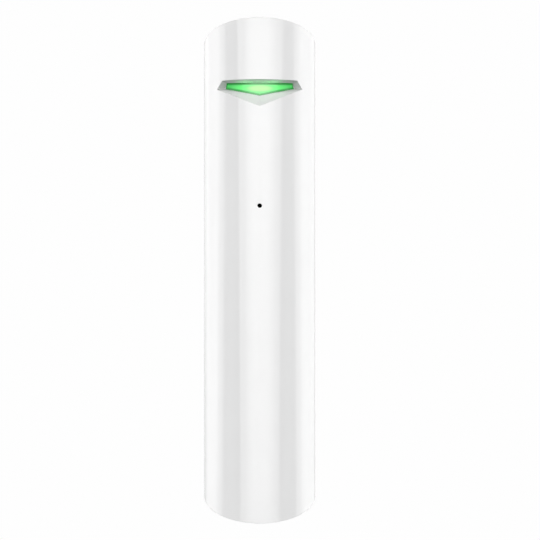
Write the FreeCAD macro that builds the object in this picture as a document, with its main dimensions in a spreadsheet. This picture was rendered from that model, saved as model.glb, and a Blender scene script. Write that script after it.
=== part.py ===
import FreeCAD, Part
import math
import os
import re
import Sketcher
from FreeCAD import Placement, Rotation, Vector

# Wireless glass break sensor: a white moulded bar that hangs on a small bracket screwed to the wall.
# Millimetres. X is to the right, +Z is up, the front faces -Y, and the wall is the plane y = 0.
# The origin is on the wall, at the middle of the bar's height.

# Driving dimensions
SIZES = {
    # lithium cell
    "cell_diameter": 17.0,
    "cell_length": 34.5,
    "cell_nub_radius": 3.3,
    "cell_nub_height": 0.9,
    "cell_edge": 0.7,
    "cell_groove_depth": 0.35,
    "cell_groove_drop": 3.0,
    "cell_groove_width": 1.2,
    # moulded housing
    "wall": 1.3,
    "cell_clearance": 0.2,
    "end_slope": 0.4536,
    "foot_margin": 13.083,
    "holder_space": 1.7,
    "head_margin": 8.083,
    "edge_chamfer": 0.2,
    "rim_gap": 0.3,
    # bracket and the slide that the bar hangs on
    "bracket_thickness": 1.4,
    "bracket_side_gap": 0.4,
    "bracket_corner": 2.0,
    "slide_gap": 0.2,
    "slide_travel": 4.6,
    "slide_clearance": 0.2,
    "hook_inner": 4.9,
    "hook_width": 2.2,
    "hook_stem": 2.0,
    "hook_lip": 4.0,
    "hook_thickness": 1.0,
    "hook_reach": 20.0,
    "screw_radius": 1.75,
    "screw_head_radius": 3.0,
    "screw_margin": 0.23,
    "screw_spacing": 50.0,
    "head_sink": 0.8,
    # break-out tamper tab
    "tab_width": 6.4,
    "tab_height": 9.8,
    "tab_hole_radius": 1.4,
    "tab_hole_drop": 4.2,
    "tab_plunger_drop": 2.9,
    "slit_width": 0.7,
    "bridge_width": 1.4,
    # rear cover
    "cover_thickness": 0.8,
    "cover_gap": 0.1,
    "cell_rear_gap": 0.1,
    "saddle_inner": 4.5,
    "saddle_outer": 8.0,
    "saddle_depth": 3.8,
    "saddle_width": 1.2,
    "partition": 0.8,
    "partition_half": 6.8,
    "partition_depth": 6.0,
    "snap_inner": 7.5,
    "snap_thickness": 1.0,
    "snap_width": 4.0,
    "snap_length": 4.2,
    "snap_barb": 0.5,
    "snap_lower": 24.0,
    "snap_upper": 30.0,
    "snap_play": 0.15,
    "ledge_width": 0.5,
    "ledge_depth": 0.9,
    "post_radius": 1.7,
    "post_across": 5.5,
    "post_drop": 3.9,
    "rest_inner": 4.7,
    "rest_outer": 6.7,
    "rest_height": 2.2,
    "window_radius": 2.4,
    "cable_half": 4.0,
    "cable_height": 6.4,
    # circuit board
    "board_length": 32.8,
    "board_half": 8.0,
    "board_thickness": 1.0,
    "board_rise": 6.2,
    "board_corner": 1.2,
    # indicator recess and light guide, measured on the front view
    "notch_drop": 11.083,
    "notch_corner": 6.75,
    "notch_tip": 7.63,
    "notch_tip_drop": 1.76,
    "notch_height": 4.8,
    "lens_depth": 2.0,
    "lens_drop": 0.8,
    "lens_top_half": 5.85,
    "lens_corner": 6.05,
    "lens_corner_drop": 0.8,
    "lens_height": 2.05,
    "lens_play": 0.04,
    "frame_thickness": 1.0,
    "frame_half": 6.9,
    "frame_margin": 1.0,
    "flange_thickness": 0.8,
    "flange_half": 6.5,
    "flange_margin": 0.9,
    "guide_foot_half": 1.7,
    "guide_foot_height": 2.4,
    "guide_fan_half": 4.4,
    "guide_gap": 0.2,
    # indicator light
    "led_half": 1.7,
    "led_height": 2.6,
    "led_thickness": 1.6,
    # microphone
    "mic_rise": 7.3,
    "mic_hole_radius": 0.4,
    "mic_radius": 4.85,
    "mic_length": 6.4,
    "boot_wall": 0.75,
    "boot_start": 0.6,
    "boot_front": 0.8,
    "nose_radius": 1.4,
    "nose_gap": 0.1,
    "channel_radius": 0.6,
    # contact springs
    "contact_thickness": 0.3,
    "contact_half": 5.0,
    "contact_depth": 9.0,
    "spring_rise": 1.5,
    "spring_half": 4.2,
    "strip_inner": 7.15,
    "strip_thickness": 0.25,
    "strip_width": 1.9,
    "strip_rear_gap": 1.6,
    "tab_length": 1.4,
    # push switches
    "switch_half": 3.0,
    "switch_height": 3.4,
    "switch_roof": 0.7,
    "switch_cavity": 1.6,
    "cavity_radius": 2.4,
    "button_radius": 1.7,
    "button_play": 0.12,
    "flange_radius": 2.2,
    "flange_height": 0.6,
    "tamper_gap": 0.15,
    "power_sink": 0.3,
    "power_rise": 25.97,
    "tamper_rise": 17.47,
    # terminal block
    "terminal_half": 4.0,
    "terminal_height": 6.0,
    "terminal_rise": 4.4,
    "terminal_above": 5.4,
    "terminal_pitch": 3.8,
    "well_radius": 1.45,
    "well_depth": 1.6,
    "entry_radius": 1.2,
    # screws
    "board_screw_radius": 0.8,
    "board_screw_head": 1.6,
    "board_screw_head_height": 1.1,
    "board_screw_length": 5.0,
    "terminal_screw_radius": 1.3,
    "terminal_screw_height": 0.9,
    "screw_slot": 0.35,
    # radio shield and antennas
    "shield_half": 5.6,
    "shield_height": 8.6,
    "shield_rise": 2.2,
    "shield_wall": 0.25,
    "shield_gap": 1.4,
    "vent_radius": 0.5,
    "vent_pitch": 2.8,
    "antenna_across": 7.0,
    "antenna_thickness": 0.25,
    "antenna_strip": 0.9,
    "antenna_rise": 3.4,
    "antenna_foot": 4.0,
    "antenna_length": 20.0,
    "second_length": 14.0,
    # chips and small parts on the back of the board
    "processor_half": 1.9,
    "processor_rise": 0.9,
    "processor_across": 5.6,
    "processor_above": 22.6,
    "amplifier_half": 1.5,
    "amplifier_rise": 1.1,
    "amplifier_across": 5.4,
    "amplifier_above": 13.4,
    "pin_width": 0.35,
    "pin_reach": 0.45,
    "crystal_half": 1.25,
    "crystal_height": 3.2,
    "crystal_across": 5.6,
    "crystal_above": 22.6,
    "crystal_rise": 0.9,
    "capacitor_radius": 2.0,
    "capacitor_length": 4.4,
    "capacitor_across": 5.6,
    "capacitor_above": 13.4,
}

# Places and sizes that follow from the driving dimensions
PLACES = {
    # the bar's section: the front is half round about the cell's axis
    "inner_radius": "cell_diameter / 2 + cell_clearance",
    "outer_radius": "inner_radius + wall",
    "cover_rear": "bracket_thickness + slide_gap",
    "cover_front": "cover_rear + cover_thickness",
    "axis_depth": "cover_front + cell_rear_gap + cell_diameter / 2",
    "body_depth": "axis_depth + outer_radius",
    # heights
    "half_length": "(foot_margin + cell_length + holder_space + board_length + head_margin) / 2",
    "end_wall": "wall * sqrt(1 + end_slope ^ 2)",
    "cell_foot": "foot_margin - half_length",
    "cell_top": "cell_foot + cell_length",
    "board_foot": "cell_top + holder_space",
    "board_top": "board_foot + board_length",
    # depths on the board
    "board_rear": "cover_front + board_rise",
    "board_front": "board_rear + board_thickness",
    # indicator
    "notch_top": "half_length - notch_drop",
    "notch_foot": "notch_top - notch_height",
    "notch_tip_z": "notch_top - notch_tip_drop",
    "lens_radius": "outer_radius - lens_depth",
    "lens_top": "notch_top - lens_drop",
    "lens_foot": "lens_top - lens_height",
    "lens_middle": "lens_top - lens_height / 2",
    "frame_radius": "lens_radius - frame_thickness",
    # bracket
    "bracket_half": "inner_radius - bracket_side_gap",
    "bracket_top": "half_length - end_slope * body_depth - end_wall - bracket_side_gap",
    "bracket_foot": "slide_travel - bracket_top",
    "screw_upper": "tab_top + slit_width + screw_head_radius + screw_margin",
    "screw_lower": "screw_upper - screw_spacing",
    "lip_rear": "cover_front + slide_clearance",
    # tamper
    "tamper_z": "board_foot + tamper_rise",
    "tab_top": "tamper_z + tab_plunger_drop",
    "power_z": "board_foot + power_rise",
    "terminal_z": "board_foot + terminal_above",
    "mic_z": "board_foot + mic_rise",
    "shield_z": "mic_z + mic_radius + boot_wall + shield_gap + shield_height / 2",
    "post_z": "board_top - post_drop",
}

doc = FreeCAD.newDocument("GlassBreakSensor")
sheet = doc.addObject("Spreadsheet::Sheet", "Sizes")
for row, (alias, size) in enumerate(SIZES.items(), start=1):
    sheet.set(f"A{row}", alias)
    sheet.set(f"B{row}", str(size))
    sheet.setAlias(f"B{row}", alias)
doc.recompute()


def full(formula):
    """Write a formula out in the sheet's own names."""

    def spell(match):
        word = match.group()
        if word in PLACES:
            return "(" + full(PLACES[word]) + ")"
        if word in SIZES:
            return "Sizes." + word
        return word

    return re.sub(r"[a-z][a-z_]*", spell, str(formula))


def number(formula):
    """The present value of a formula, for the first drawing of a sketch."""
    return float(sheet.evalExpression(full(formula)))


def bind(thing, prop, formula):
    """Tie one property of an object to the sheet."""
    thing.setExpression(prop, full(formula))


# Sketches and bodies
def new_body(name):
    """An empty body."""
    return doc.addObject("PartDesign::Body", name)


def new_sketch(body, name, role, offset="0"):
    """A sketch on one of the body's own origin planes, moved along its normal."""
    sketch = body.newObject("Sketcher::SketchObject", name)
    plane = next(item for item in body.Origin.OriginFeatures if item.Role == role)
    sketch.AttachmentSupport = [(plane, "")]
    sketch.MapMode = "FlatFace"
    bind(sketch, "AttachmentOffset.Base.z", offset)
    return sketch


def pin_point(sketch, geometry, point, across, up):
    """Tie a point of a sketch to the sheet in both directions."""
    for kind, formula in (("DistanceX", across), ("DistanceY", up)):
        constraint = Sketcher.Constraint(kind, -1, 1, geometry, point, number(formula))
        index = sketch.addConstraint(constraint)
        name = f"{kind}_{geometry}_{point}"
        sketch.renameConstraint(index, name)
        bind(sketch, f"Constraints.{name}", formula)


def add_polygon(sketch, corners):
    """A closed outline of straight lines through the corners."""
    places = [Vector(number(across), number(up), 0) for across, up in corners]
    count = len(corners)
    lines = []
    for index in range(count):
        segment = Part.LineSegment(places[index], places[(index + 1) % count])
        lines.append(sketch.addGeometry(segment))
    for index in range(count):
        joint = Sketcher.Constraint("Coincident", lines[index], 2, lines[(index + 1) % count], 1)
        sketch.addConstraint(joint)
    for line, (across, up) in zip(lines, corners):
        pin_point(sketch, line, 1, across, up)


def pad(body, sketch, length, symmetric=False):
    """Raise a sketch along its normal."""
    feature = body.newObject("PartDesign::Pad", "Pad")
    feature.Profile = sketch
    if symmetric:
        feature.SideType = "Symmetric"
    bind(feature, "Length", length)
    return feature


def turned(name, profile, place, turn):
    """A turned piece: a profile of (radius, height) corners swept about its own Z, then laid in place."""
    body = new_body(name)
    sketch = new_sketch(body, name + "_profile", "XZ_Plane")
    add_polygon(sketch, profile)
    doc.recompute()
    spin = body.newObject("PartDesign::Revolution", "Turned")
    spin.Profile = sketch
    spin.ReferenceAxis = (sketch, ["V_Axis"])
    spin.Angle = 360
    body.Placement = Placement(Vector(), turn)
    for axis, formula in zip("xyz", place):
        bind(body, "Placement.Base." + axis, formula)
    return body


UPRIGHT = Rotation()
TO_FRONT = Rotation(Vector(1, 0, 0), 90)
TO_REAR = Rotation(Vector(1, 0, 0), -90)


# Simple solids and how they combine
def block(name, across, depth, height):
    """A box between two formulas on each axis; depth is counted forward from the wall."""
    box = doc.addObject("Part::Box", name)
    bind(box, "Length", f"({across[1]}) - ({across[0]})")
    bind(box, "Width", f"({depth[1]}) - ({depth[0]})")
    bind(box, "Height", f"({height[1]}) - ({height[0]})")
    bind(box, "Placement.Base.x", across[0])
    bind(box, "Placement.Base.y", f"-({depth[1]})")
    bind(box, "Placement.Base.z", height[0])
    return box


def rod(name, radius, across, height, depth):
    """A round bar along Y between two depths."""
    bar = doc.addObject("Part::Cylinder", name)
    bar.Placement = Placement(Vector(), TO_FRONT)
    bind(bar, "Radius", radius)
    bind(bar, "Height", f"({depth[1]}) - ({depth[0]})")
    bind(bar, "Placement.Base.x", across)
    bind(bar, "Placement.Base.y", f"-({depth[0]})")
    bind(bar, "Placement.Base.z", height)
    return bar


def column(name, radius, height):
    """A round bar along Z about the cell's axis."""
    bar = doc.addObject("Part::Cylinder", name)
    bind(bar, "Radius", radius)
    bind(bar, "Height", f"({height[1]}) - ({height[0]})")
    bind(bar, "Placement.Base.y", "-axis_depth")
    bind(bar, "Placement.Base.z", height[0])
    return bar


def sink(name, small, large, across, height, depth):
    """A cone along Y for a countersunk head, small at the rear and large at the front."""
    cone = doc.addObject("Part::Cone", name)
    cone.Placement = Placement(Vector(), TO_FRONT)
    bind(cone, "Radius1", small)
    bind(cone, "Radius2", large)
    bind(cone, "Height", f"({depth[1]}) - ({depth[0]})")
    bind(cone, "Placement.Base.x", across)
    bind(cone, "Placement.Base.y", f"-({depth[0]})")
    bind(cone, "Placement.Base.z", height)
    return cone


def fuse(name, *shapes):
    """One solid from several."""
    union = doc.addObject("Part::MultiFuse", name)
    union.Shapes = list(shapes)
    union.Refine = True
    return union


def cut(name, base, *tools):
    """A solid with others taken out of it."""
    tool = tools[0]
    if len(tools) > 1:
        tool = fuse(name + "_tools", *tools)
    remainder = doc.addObject("Part::Cut", name)
    remainder.Base = base
    remainder.Tool = tool
    return remainder


def common(name, *shapes):
    """What several solids share."""
    shared = doc.addObject("Part::MultiCommon", name)
    shared.Shapes = list(shapes)
    return shared


def end_height(depth, inset):
    """Height of the slanted end at a depth, moved inwards by an inset."""
    return f"half_length - end_slope * (body_depth - ({depth})) - ({inset})"


# Front housing: half round in front, straight sides, both ends cut back at a slant
def outer_end_edges(shape):
    """Names of the edges on the outer slanted ends, the rear rim's own edges left out."""
    names = []
    half = number("half_length")
    slope = number("end_slope")
    depth = number("body_depth")
    rim = number("rim_gap")
    for index, edge in enumerate(shape.Edges, start=1):
        first, last = edge.ParameterRange
        points = [edge.valueAt(first + (last - first) * part / 4) for part in range(5)]
        on_end = all(abs(abs(p.z) - half + slope * (depth + p.y)) < 1e-4 for p in points)
        on_rim = all(abs(p.y + rim) < 1e-4 for p in points)
        if on_end and not on_rim:
            names.append(f"Edge{index}")
    return names


def housing_shell():
    """The moulded shell as it is before the indicator, the microphone hole and the snap pockets."""
    body = new_body("HousingShell")
    section = new_sketch(body, "HousingSection", "XY_Plane")
    radius = number("outer_radius")
    centre = -number("axis_depth")
    rim = -number("rim_gap")
    round_front = Part.ArcOfCircle(
        Part.Circle(Vector(0, centre, 0), Vector(0, 0, 1), radius), math.pi, 2 * math.pi)
    front = section.addGeometry(round_front)
    right = section.addGeometry(Part.LineSegment(Vector(radius, centre, 0), Vector(radius, rim, 0)))
    rear = section.addGeometry(Part.LineSegment(Vector(radius, rim, 0), Vector(-radius, rim, 0)))
    left = section.addGeometry(Part.LineSegment(Vector(-radius, rim, 0), Vector(-radius, centre, 0)))
    section.addConstraint([
        Sketcher.Constraint("Tangent", front, 2, right, 1),
        Sketcher.Constraint("Coincident", right, 2, rear, 1),
        Sketcher.Constraint("Coincident", rear, 2, left, 1),
        Sketcher.Constraint("Tangent", left, 2, front, 1),
        Sketcher.Constraint("PointOnObject", front, 3, -2),
        Sketcher.Constraint("Horizontal", rear),
        Sketcher.Constraint("Vertical", right),
        Sketcher.Constraint("Vertical", left),
    ])
    driven = (
        ("radius", Sketcher.Constraint("Radius", front, radius), "outer_radius"),
        ("axis", Sketcher.Constraint("DistanceY", front, 3, -1, 1, -centre), "axis_depth"),
        ("rim", Sketcher.Constraint("DistanceY", right, 2, -1, 1, -rim), "rim_gap"),
    )
    for name, constraint, formula in driven:
        index = section.addConstraint(constraint)
        section.renameConstraint(index, name)
        bind(section, "Constraints." + name, formula)
    doc.recompute()
    pad(body, section, "2 * half_length", symmetric=True)
    doc.recompute()
    ends = new_sketch(body, "SlantedEnds", "YZ_Plane")
    for sign in ("", "-"):
        add_polygon(ends, [
            ("-(body_depth + 1)", f"{sign}(half_length + end_slope)"),
            ("1", f"{sign}(half_length - end_slope * (body_depth + 1))"),
            ("1", f"{sign}(half_length + 3)"),
            ("-(body_depth + 1)", f"{sign}(half_length + 3)"),
        ])
    doc.recompute()
    slant = body.newObject("PartDesign::Pocket", "EndCuts")
    slant.Profile = ends
    slant.SideType = "Symmetric"
    bind(slant, "Length", "3 * outer_radius")
    doc.recompute()
    rear_faces = [f"Face{index}" for index, face in enumerate(slant.Shape.Faces, start=1)
                  if abs(face.BoundBox.YMin - rim) < 1e-6 and abs(face.BoundBox.YMax - rim) < 1e-6]
    hollow = body.newObject("PartDesign::Thickness", "Hollow")
    hollow.Base = (slant, rear_faces)
    hollow.Reversed = True
    hollow.Mode = "Skin"
    hollow.Join = "Intersection"
    bind(hollow, "Value", "wall")
    doc.recompute()
    softened = body.newObject("PartDesign::Chamfer", "EndChamfers")
    softened.Base = (hollow, outer_end_edges(hollow.Shape))
    bind(softened, "Size", "edge_chamfer")
    doc.recompute()
    return body


# Indicator recess: a ceiling, two side facets and a floor folded along the middle
def recess_section(angle, outside):
    """One radial section of the recess, from the lens surface out past the housing's front."""
    lens = number("lens_radius")
    skin = number("outer_radius")
    floor_lens = number("lens_foot") + number("lens_height - lens_corner_drop") * (
        lens * math.sin(angle) / number("lens_corner"))
    floor_skin = number("notch_foot") + number("notch_height - notch_tip_drop") * (
        skin * math.sin(angle) / number("notch_tip"))
    floor_slope = (floor_skin - floor_lens) / (skin - lens)
    ceiling_slope = number("lens_drop") / (skin - lens)
    ring = (
        (lens, floor_lens),
        (outside, floor_lens + floor_slope * (outside - lens)),
        (outside, number("lens_top") + ceiling_slope * (outside - lens)),
        (lens, number("lens_top")),
    )
    centre = number("axis_depth")
    points = [Vector(r * math.sin(angle), -centre - r * math.cos(angle), z) for r, z in ring]
    return Part.makePolygon(points + points[:1])


def on_round(radius, across, height):
    """A point on a round surface about the cell's axis, given as it looks from the front."""
    return Vector(across, -number("axis_depth") - math.sqrt(radius ** 2 - across ** 2), height)


def recess_shape():
    """The space of the whole recess, right half lofted and mirrored."""
    skin = number("outer_radius")
    outside = skin + 0.8
    widest = math.asin(number("notch_tip") / skin) + math.radians(8)
    steps = 6
    sections = [recess_section(widest * step / steps, outside) for step in range(steps + 1)]
    half = Part.makeLoft(sections, True, False)
    top_skin = on_round(skin, number("notch_corner"), number("notch_top"))
    top_lens = on_round(number("lens_radius"), number("lens_top_half"), number("lens_top"))
    tip_skin = on_round(skin, number("notch_tip"), number("notch_tip_z"))
    normal = (top_lens - top_skin).cross(tip_skin - top_skin)
    if normal.x < 0:
        normal = -normal
    reach = 3 * skin
    facet = Part.makePlane(reach, reach, Vector(), Vector(0, 0, 1))
    facet.translate(Vector(-reach / 2, -reach / 2, 0))
    beyond = facet.extrude(Vector(0, 0, reach))
    beyond.Placement = Placement(top_skin, Rotation(Vector(0, 0, 1), normal))
    half = half.cut(beyond)
    other = half.mirror(Vector(), Vector(1, 0, 0))
    return half.fuse(other).removeSplitter()


def recess_tool():
    """The recess as an object of its own."""
    tool = doc.addObject("Part::Feature", "IndicatorRecess")
    tool.Shape = recess_shape()
    return tool


def lens_prism(name, play, rear):
    """The lens outline as seen from the front, run through from a depth to past the front."""
    body = new_body(name)
    outline = new_sketch(body, name + "_outline", "XZ_Plane", rear)
    add_polygon(outline, [
        ("0", f"lens_foot - {play}"),
        (f"lens_corner + {play}", f"lens_top - lens_corner_drop - {play}"),
        (f"lens_top_half + {play}", f"lens_top + {play}"),
        (f"-lens_top_half - {play}", f"lens_top + {play}"),
        (f"-lens_corner - {play}", f"lens_top - lens_corner_drop - {play}"),
    ])
    doc.recompute()
    pad(body, outline, f"body_depth - ({rear}) + 1")
    return body


def front_housing():
    """The white front: shell, frame behind the lens, microphone hole and snap pockets."""
    frame_depth = ("axis_depth", "body_depth")
    frame_height = ("notch_foot - frame_margin", "notch_top + frame_margin")
    frame = cut(
        "LensFrame",
        common(
            "LensFrameBlock",
            column("LensFrameRound", "inner_radius + wall / 2", frame_height),
            block("LensFrameBox", ("-frame_half", "frame_half"), ("axis_depth + 2.4", "body_depth"),
                  frame_height)),
        column("LensFrameInside", "frame_radius", frame_height))
    pockets = []
    for side in (-1, 1):
        for level in ("-snap_lower", "snap_upper"):
            near = f"{side} * (inner_radius + snap_barb + snap_play)"
            far = f"{side} * (inner_radius - 1)"
            across = (near, far) if side < 0 else (far, near)
            pockets.append(block(
                f"SnapPocket{len(pockets)}", across,
                ("cover_front + snap_length - 1.4 - snap_play", "cover_front + snap_length + snap_play"),
                (f"{level} - snap_width / 2 - snap_play", f"{level} + snap_width / 2 + snap_play")))
    ledges = []
    for side in (-1, 1):
        near = f"{side} * (inner_radius + wall / 2)"
        far = f"{side} * (inner_radius - ledge_width)"
        ledges.append(block(f"CoverLedge{side + 1}", (near, far) if side < 0 else (far, near),
                            ("cover_front", "cover_front + ledge_depth"),
                            ("-snap_lower + snap_width", "snap_upper - snap_width")))
    hole = rod("SoundHole", "mic_hole_radius", "0", "mic_z", frame_depth)
    solid = fuse("HousingSolid", housing_shell(), frame, *ledges)
    return cut("FrontHousing", solid, recess_tool(), lens_prism("LensOpening", "lens_play", "axis_depth"),
               hole, *pockets)


# Light guide: a pointed lens, a flange that bears on the frame, and a fan down to the light
def light_guide():
    """The clear guide that carries the indicator's light to the lens."""
    height = ("lens_foot - flange_margin", "lens_top + flange_margin")
    lens = common("LensFace", lens_prism("LensBlock", "0", "axis_depth + lens_radius / 2"),
                  column("LensRound", "lens_radius", height))
    flange = cut(
        "GuideFlange",
        common(
            "GuideFlangeBlock",
            column("GuideFlangeRound", "frame_radius", height),
            block("GuideFlangeBox", ("-flange_half", "flange_half"), ("axis_depth + 2.8", "body_depth"),
                  height)),
        column("GuideFlangeInside", "frame_radius - flange_thickness", height))
    fan = new_body("GuideFan")
    foot = new_sketch(fan, "GuideFoot", "XZ_Plane", "board_front + led_thickness + guide_gap")
    add_polygon(foot, [
        ("-guide_foot_half", "lens_middle - guide_foot_height / 2"),
        ("guide_foot_half", "lens_middle - guide_foot_height / 2"),
        ("guide_foot_half", "lens_middle + guide_foot_height / 2"),
        ("-guide_foot_half", "lens_middle + guide_foot_height / 2"),
    ])
    head = new_sketch(fan, "GuideHead", "XZ_Plane", "axis_depth + frame_radius - 2")
    add_polygon(head, [
        ("-guide_fan_half", "lens_foot - flange_margin / 2"),
        ("guide_fan_half", "lens_foot - flange_margin / 2"),
        ("guide_fan_half", "lens_top + flange_margin / 2"),
        ("-guide_fan_half", "lens_top + flange_margin / 2"),
    ])
    doc.recompute()
    loft = fan.newObject("PartDesign::AdditiveLoft", "Fan")
    loft.Profile = foot
    loft.Sections = [head]
    loft.Ruled = True
    return fuse("LightGuide", lens, flange, fan)


# Rear cover: a slim tray with cell saddles, board posts, snap arms and slots for the bracket
def rear_cover():
    """The cover that closes the bar and carries the cell and the board."""
    plate = new_body("CoverPlate")
    profile = new_sketch(plate, "CoverProfile", "YZ_Plane")
    outer_end = end_height("cover_rear", "end_wall + cover_gap")
    inner_end = end_height("cover_front", "end_wall + cover_gap")
    add_polygon(profile, [
        ("-cover_rear", f"-({outer_end})"),
        ("-cover_rear", outer_end),
        ("-cover_front", inner_end),
        ("-cover_front", f"-({inner_end})"),
    ])
    doc.recompute()
    pad(plate, profile, "2 * (inner_radius - cover_gap)", symmetric=True)
    added = [plate]
    rooted = "cover_rear + cover_thickness / 2"
    for index, level in enumerate(("cell_foot + 2.5", "cell_foot + 21", "cell_top - 5")):
        for side, across in (("Left", ("-saddle_outer", "-saddle_inner")), ("Right", ("saddle_inner", "saddle_outer"))):
            added.append(block(f"Saddle{side}{index}", across, (rooted, "cover_front + saddle_depth"),
                               (level, f"{level} + saddle_width")))
    added.append(block("LowerPartition", ("-partition_half", "partition_half"),
                       (rooted, "cover_front + partition_depth"),
                       ("cell_foot - spring_rise - contact_thickness - partition",
                        "cell_foot - spring_rise - contact_thickness")))
    added.append(block("UpperPartition", ("-partition_half", "partition_half"),
                       (rooted, "cover_front + partition_depth"),
                       ("cell_top + contact_thickness", "cell_top + contact_thickness + partition")))
    for side in (-1, 1):
        across = (f"{side} * rest_outer", f"{side} * rest_inner")
        if side > 0:
            across = across[::-1]
        added.append(block(f"BoardRest{side + 1}", across, (rooted, "board_rear"),
                           ("cell_top + contact_thickness + partition / 2", "board_foot + rest_height")))
        added.append(rod(f"BoardPost{side + 1}", "post_radius", f"{side} * post_across", "post_z",
                         (rooted, "board_rear")))
        for level in ("-snap_lower", "snap_upper"):
            arm = (f"{side} * (snap_inner + snap_thickness)", f"{side} * snap_inner")
            barb = (f"{side} * (inner_radius + snap_barb)", f"{side} * (snap_inner + snap_thickness / 2)")
            if side > 0:
                arm = arm[::-1]
                barb = barb[::-1]
            height = (f"{level} - snap_width / 2", f"{level} + snap_width / 2")
            mark = len(added)
            added.append(block(f"SnapArm{mark}", arm, (rooted, "cover_front + snap_length"), height))
            added.append(block(f"SnapBarb{mark}", barb,
                               ("cover_front + snap_length - 1.4", "cover_front + snap_length"), height))
    solid = fuse("CoverSolid", *added)
    through = ("cover_rear - 1", "cover_front + 1")
    removed = [
        column("CellRoom", "cell_diameter / 2 + cell_rear_gap", ("cell_foot - spring_rise", "cell_top")),
        block("StripRoom", ("strip_inner - 0.15", "strip_inner + strip_thickness + 0.15"),
              ("cover_front + strip_rear_gap - 0.3", "cover_front + saddle_depth + 1"),
              ("cell_foot - 1", "cell_top + 1")),
        block("CableWindow", ("-cable_half", "cable_half"), through,
              ("terminal_z - cable_height / 2", "terminal_z + cable_height / 2")),
        rod("TamperWindow", "window_radius", "0", "tamper_z", through),
        rod("PowerWindow", "window_radius", "0", "power_z", through),
    ]
    for side in (-1, 1):
        slot = (f"{side} * (hook_inner + hook_width + slide_clearance)", f"{side} * (hook_inner - slide_clearance)")
        if side > 0:
            slot = slot[::-1]
        removed.append(rod(f"Pilot{side + 1}", "board_screw_radius", f"{side} * post_across", "post_z",
                           ("cover_front + 0.6", "board_rear + 1")))
        for level in ("-hook_reach", "hook_reach"):
            top = f"{level} + hook_stem + slide_clearance"
            removed.append(block(f"HookSlot{len(removed)}", slot, through,
                                 (f"{top} - hook_stem - slide_travel - 2 * slide_clearance", top)))
    return cut("RearCover", solid, *removed)


# Wall bracket: a flat plate with four hooks, two screw holes, a break-out tab and a cable window
def wall_bracket():
    """The plate that is screwed to the wall."""
    plate = new_body("BracketPlate")
    outline = new_sketch(plate, "BracketOutline", "XZ_Plane")
    add_polygon(outline, [
        ("-bracket_half", "bracket_foot"),
        ("bracket_half", "bracket_foot"),
        ("bracket_half", "bracket_top"),
        ("-bracket_half", "bracket_top"),
    ])
    doc.recompute()
    raised = pad(plate, outline, "bracket_thickness")
    doc.recompute()
    corners = []
    for index, edge in enumerate(raised.Shape.Edges, start=1):
        first, last = (vertex.Point for vertex in edge.Vertexes)
        if abs(first.x - last.x) < 1e-6 and abs(first.z - last.z) < 1e-6:
            corners.append(f"Edge{index}")
    rounded = plate.newObject("PartDesign::Fillet", "BracketCorners")
    rounded.Base = (raised, corners)
    bind(rounded, "Radius", "bracket_corner")
    added = [plate]
    for side in (-1, 1):
        across = (f"{side} * (hook_inner + hook_width)", f"{side} * hook_inner")
        if side > 0:
            across = across[::-1]
        for level in ("-hook_reach", "hook_reach"):
            mark = len(added)
            added.append(block(f"HookStem{mark}", across,
                               ("bracket_thickness / 2", "lip_rear + hook_thickness"),
                               (level, f"{level} + hook_stem")))
            added.append(block(f"HookLip{mark}", across, ("lip_rear", "lip_rear + hook_thickness"),
                               (f"{level} + hook_stem / 2", f"{level} + hook_stem + hook_lip")))
    solid = fuse("BracketSolid", *added)
    through = ("-1", "bracket_thickness + 1")
    sunk = ("bracket_thickness - head_sink", "bracket_thickness")
    removed = [block("BracketWindow", ("-cable_half - 0.3", "cable_half + 0.3"), through,
                     ("terminal_z - cable_height / 2 - 0.3", "terminal_z + cable_height / 2 + 0.3"))]
    for name, level in (("Upper", "screw_upper"), ("Lower", "screw_lower")):
        removed.append(rod("ScrewHole" + name, "screw_radius", "0", level, through))
        removed.append(sink("ScrewSink" + name, "screw_radius", "screw_head_radius", "0", level, sunk))
    removed.append(rod("TabHole", "tab_hole_radius", "0", "tamper_z - tab_hole_drop", through))
    top = ("tab_top", "tab_top + slit_width")
    foot = ("tab_top - tab_height - slit_width", "tab_top - tab_height")
    for side in (-1, 1):
        upright = (f"{side} * (tab_width / 2 + slit_width)", f"{side} * tab_width / 2")
        level = (f"{side} * (tab_width / 2 + slit_width / 2)", f"{side} * bridge_width / 2")
        if side > 0:
            upright = upright[::-1]
            level = level[::-1]
        removed.append(block(f"TabSide{side + 1}", upright, through, (foot[0], top[1])))
        removed.append(block(f"TabTop{side + 1}", level, through, top))
        removed.append(block(f"TabFoot{side + 1}", level, through, foot))
    return cut("WallBracket", solid, *removed)


# Circuit board
def circuit_board():
    """The board with its two screw holes and rounded corners."""
    body = new_body("Board")
    outline = new_sketch(body, "BoardOutline", "XZ_Plane", "board_rear")
    add_polygon(outline, [
        ("-board_half", "board_foot"),
        ("board_half", "board_foot"),
        ("board_half", "board_top"),
        ("-board_half", "board_top"),
    ])
    doc.recompute()
    raised = pad(body, outline, "board_thickness")
    doc.recompute()
    corners = []
    for index, edge in enumerate(raised.Shape.Edges, start=1):
        first, last = (vertex.Point for vertex in edge.Vertexes)
        if abs(first.x - last.x) < 1e-6 and abs(first.z - last.z) < 1e-6:
            corners.append(f"Edge{index}")
    rounded = body.newObject("PartDesign::Fillet", "BoardCorners")
    rounded.Base = (raised, corners)
    bind(rounded, "Radius", "board_corner")
    holes = [rod(f"BoardHole{side + 1}", "board_screw_radius", f"{side} * post_across", "post_z",
                 ("board_rear - 1", "board_front + 1")) for side in (-1, 1)]
    return cut("CircuitBoard", body, *holes)


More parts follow.
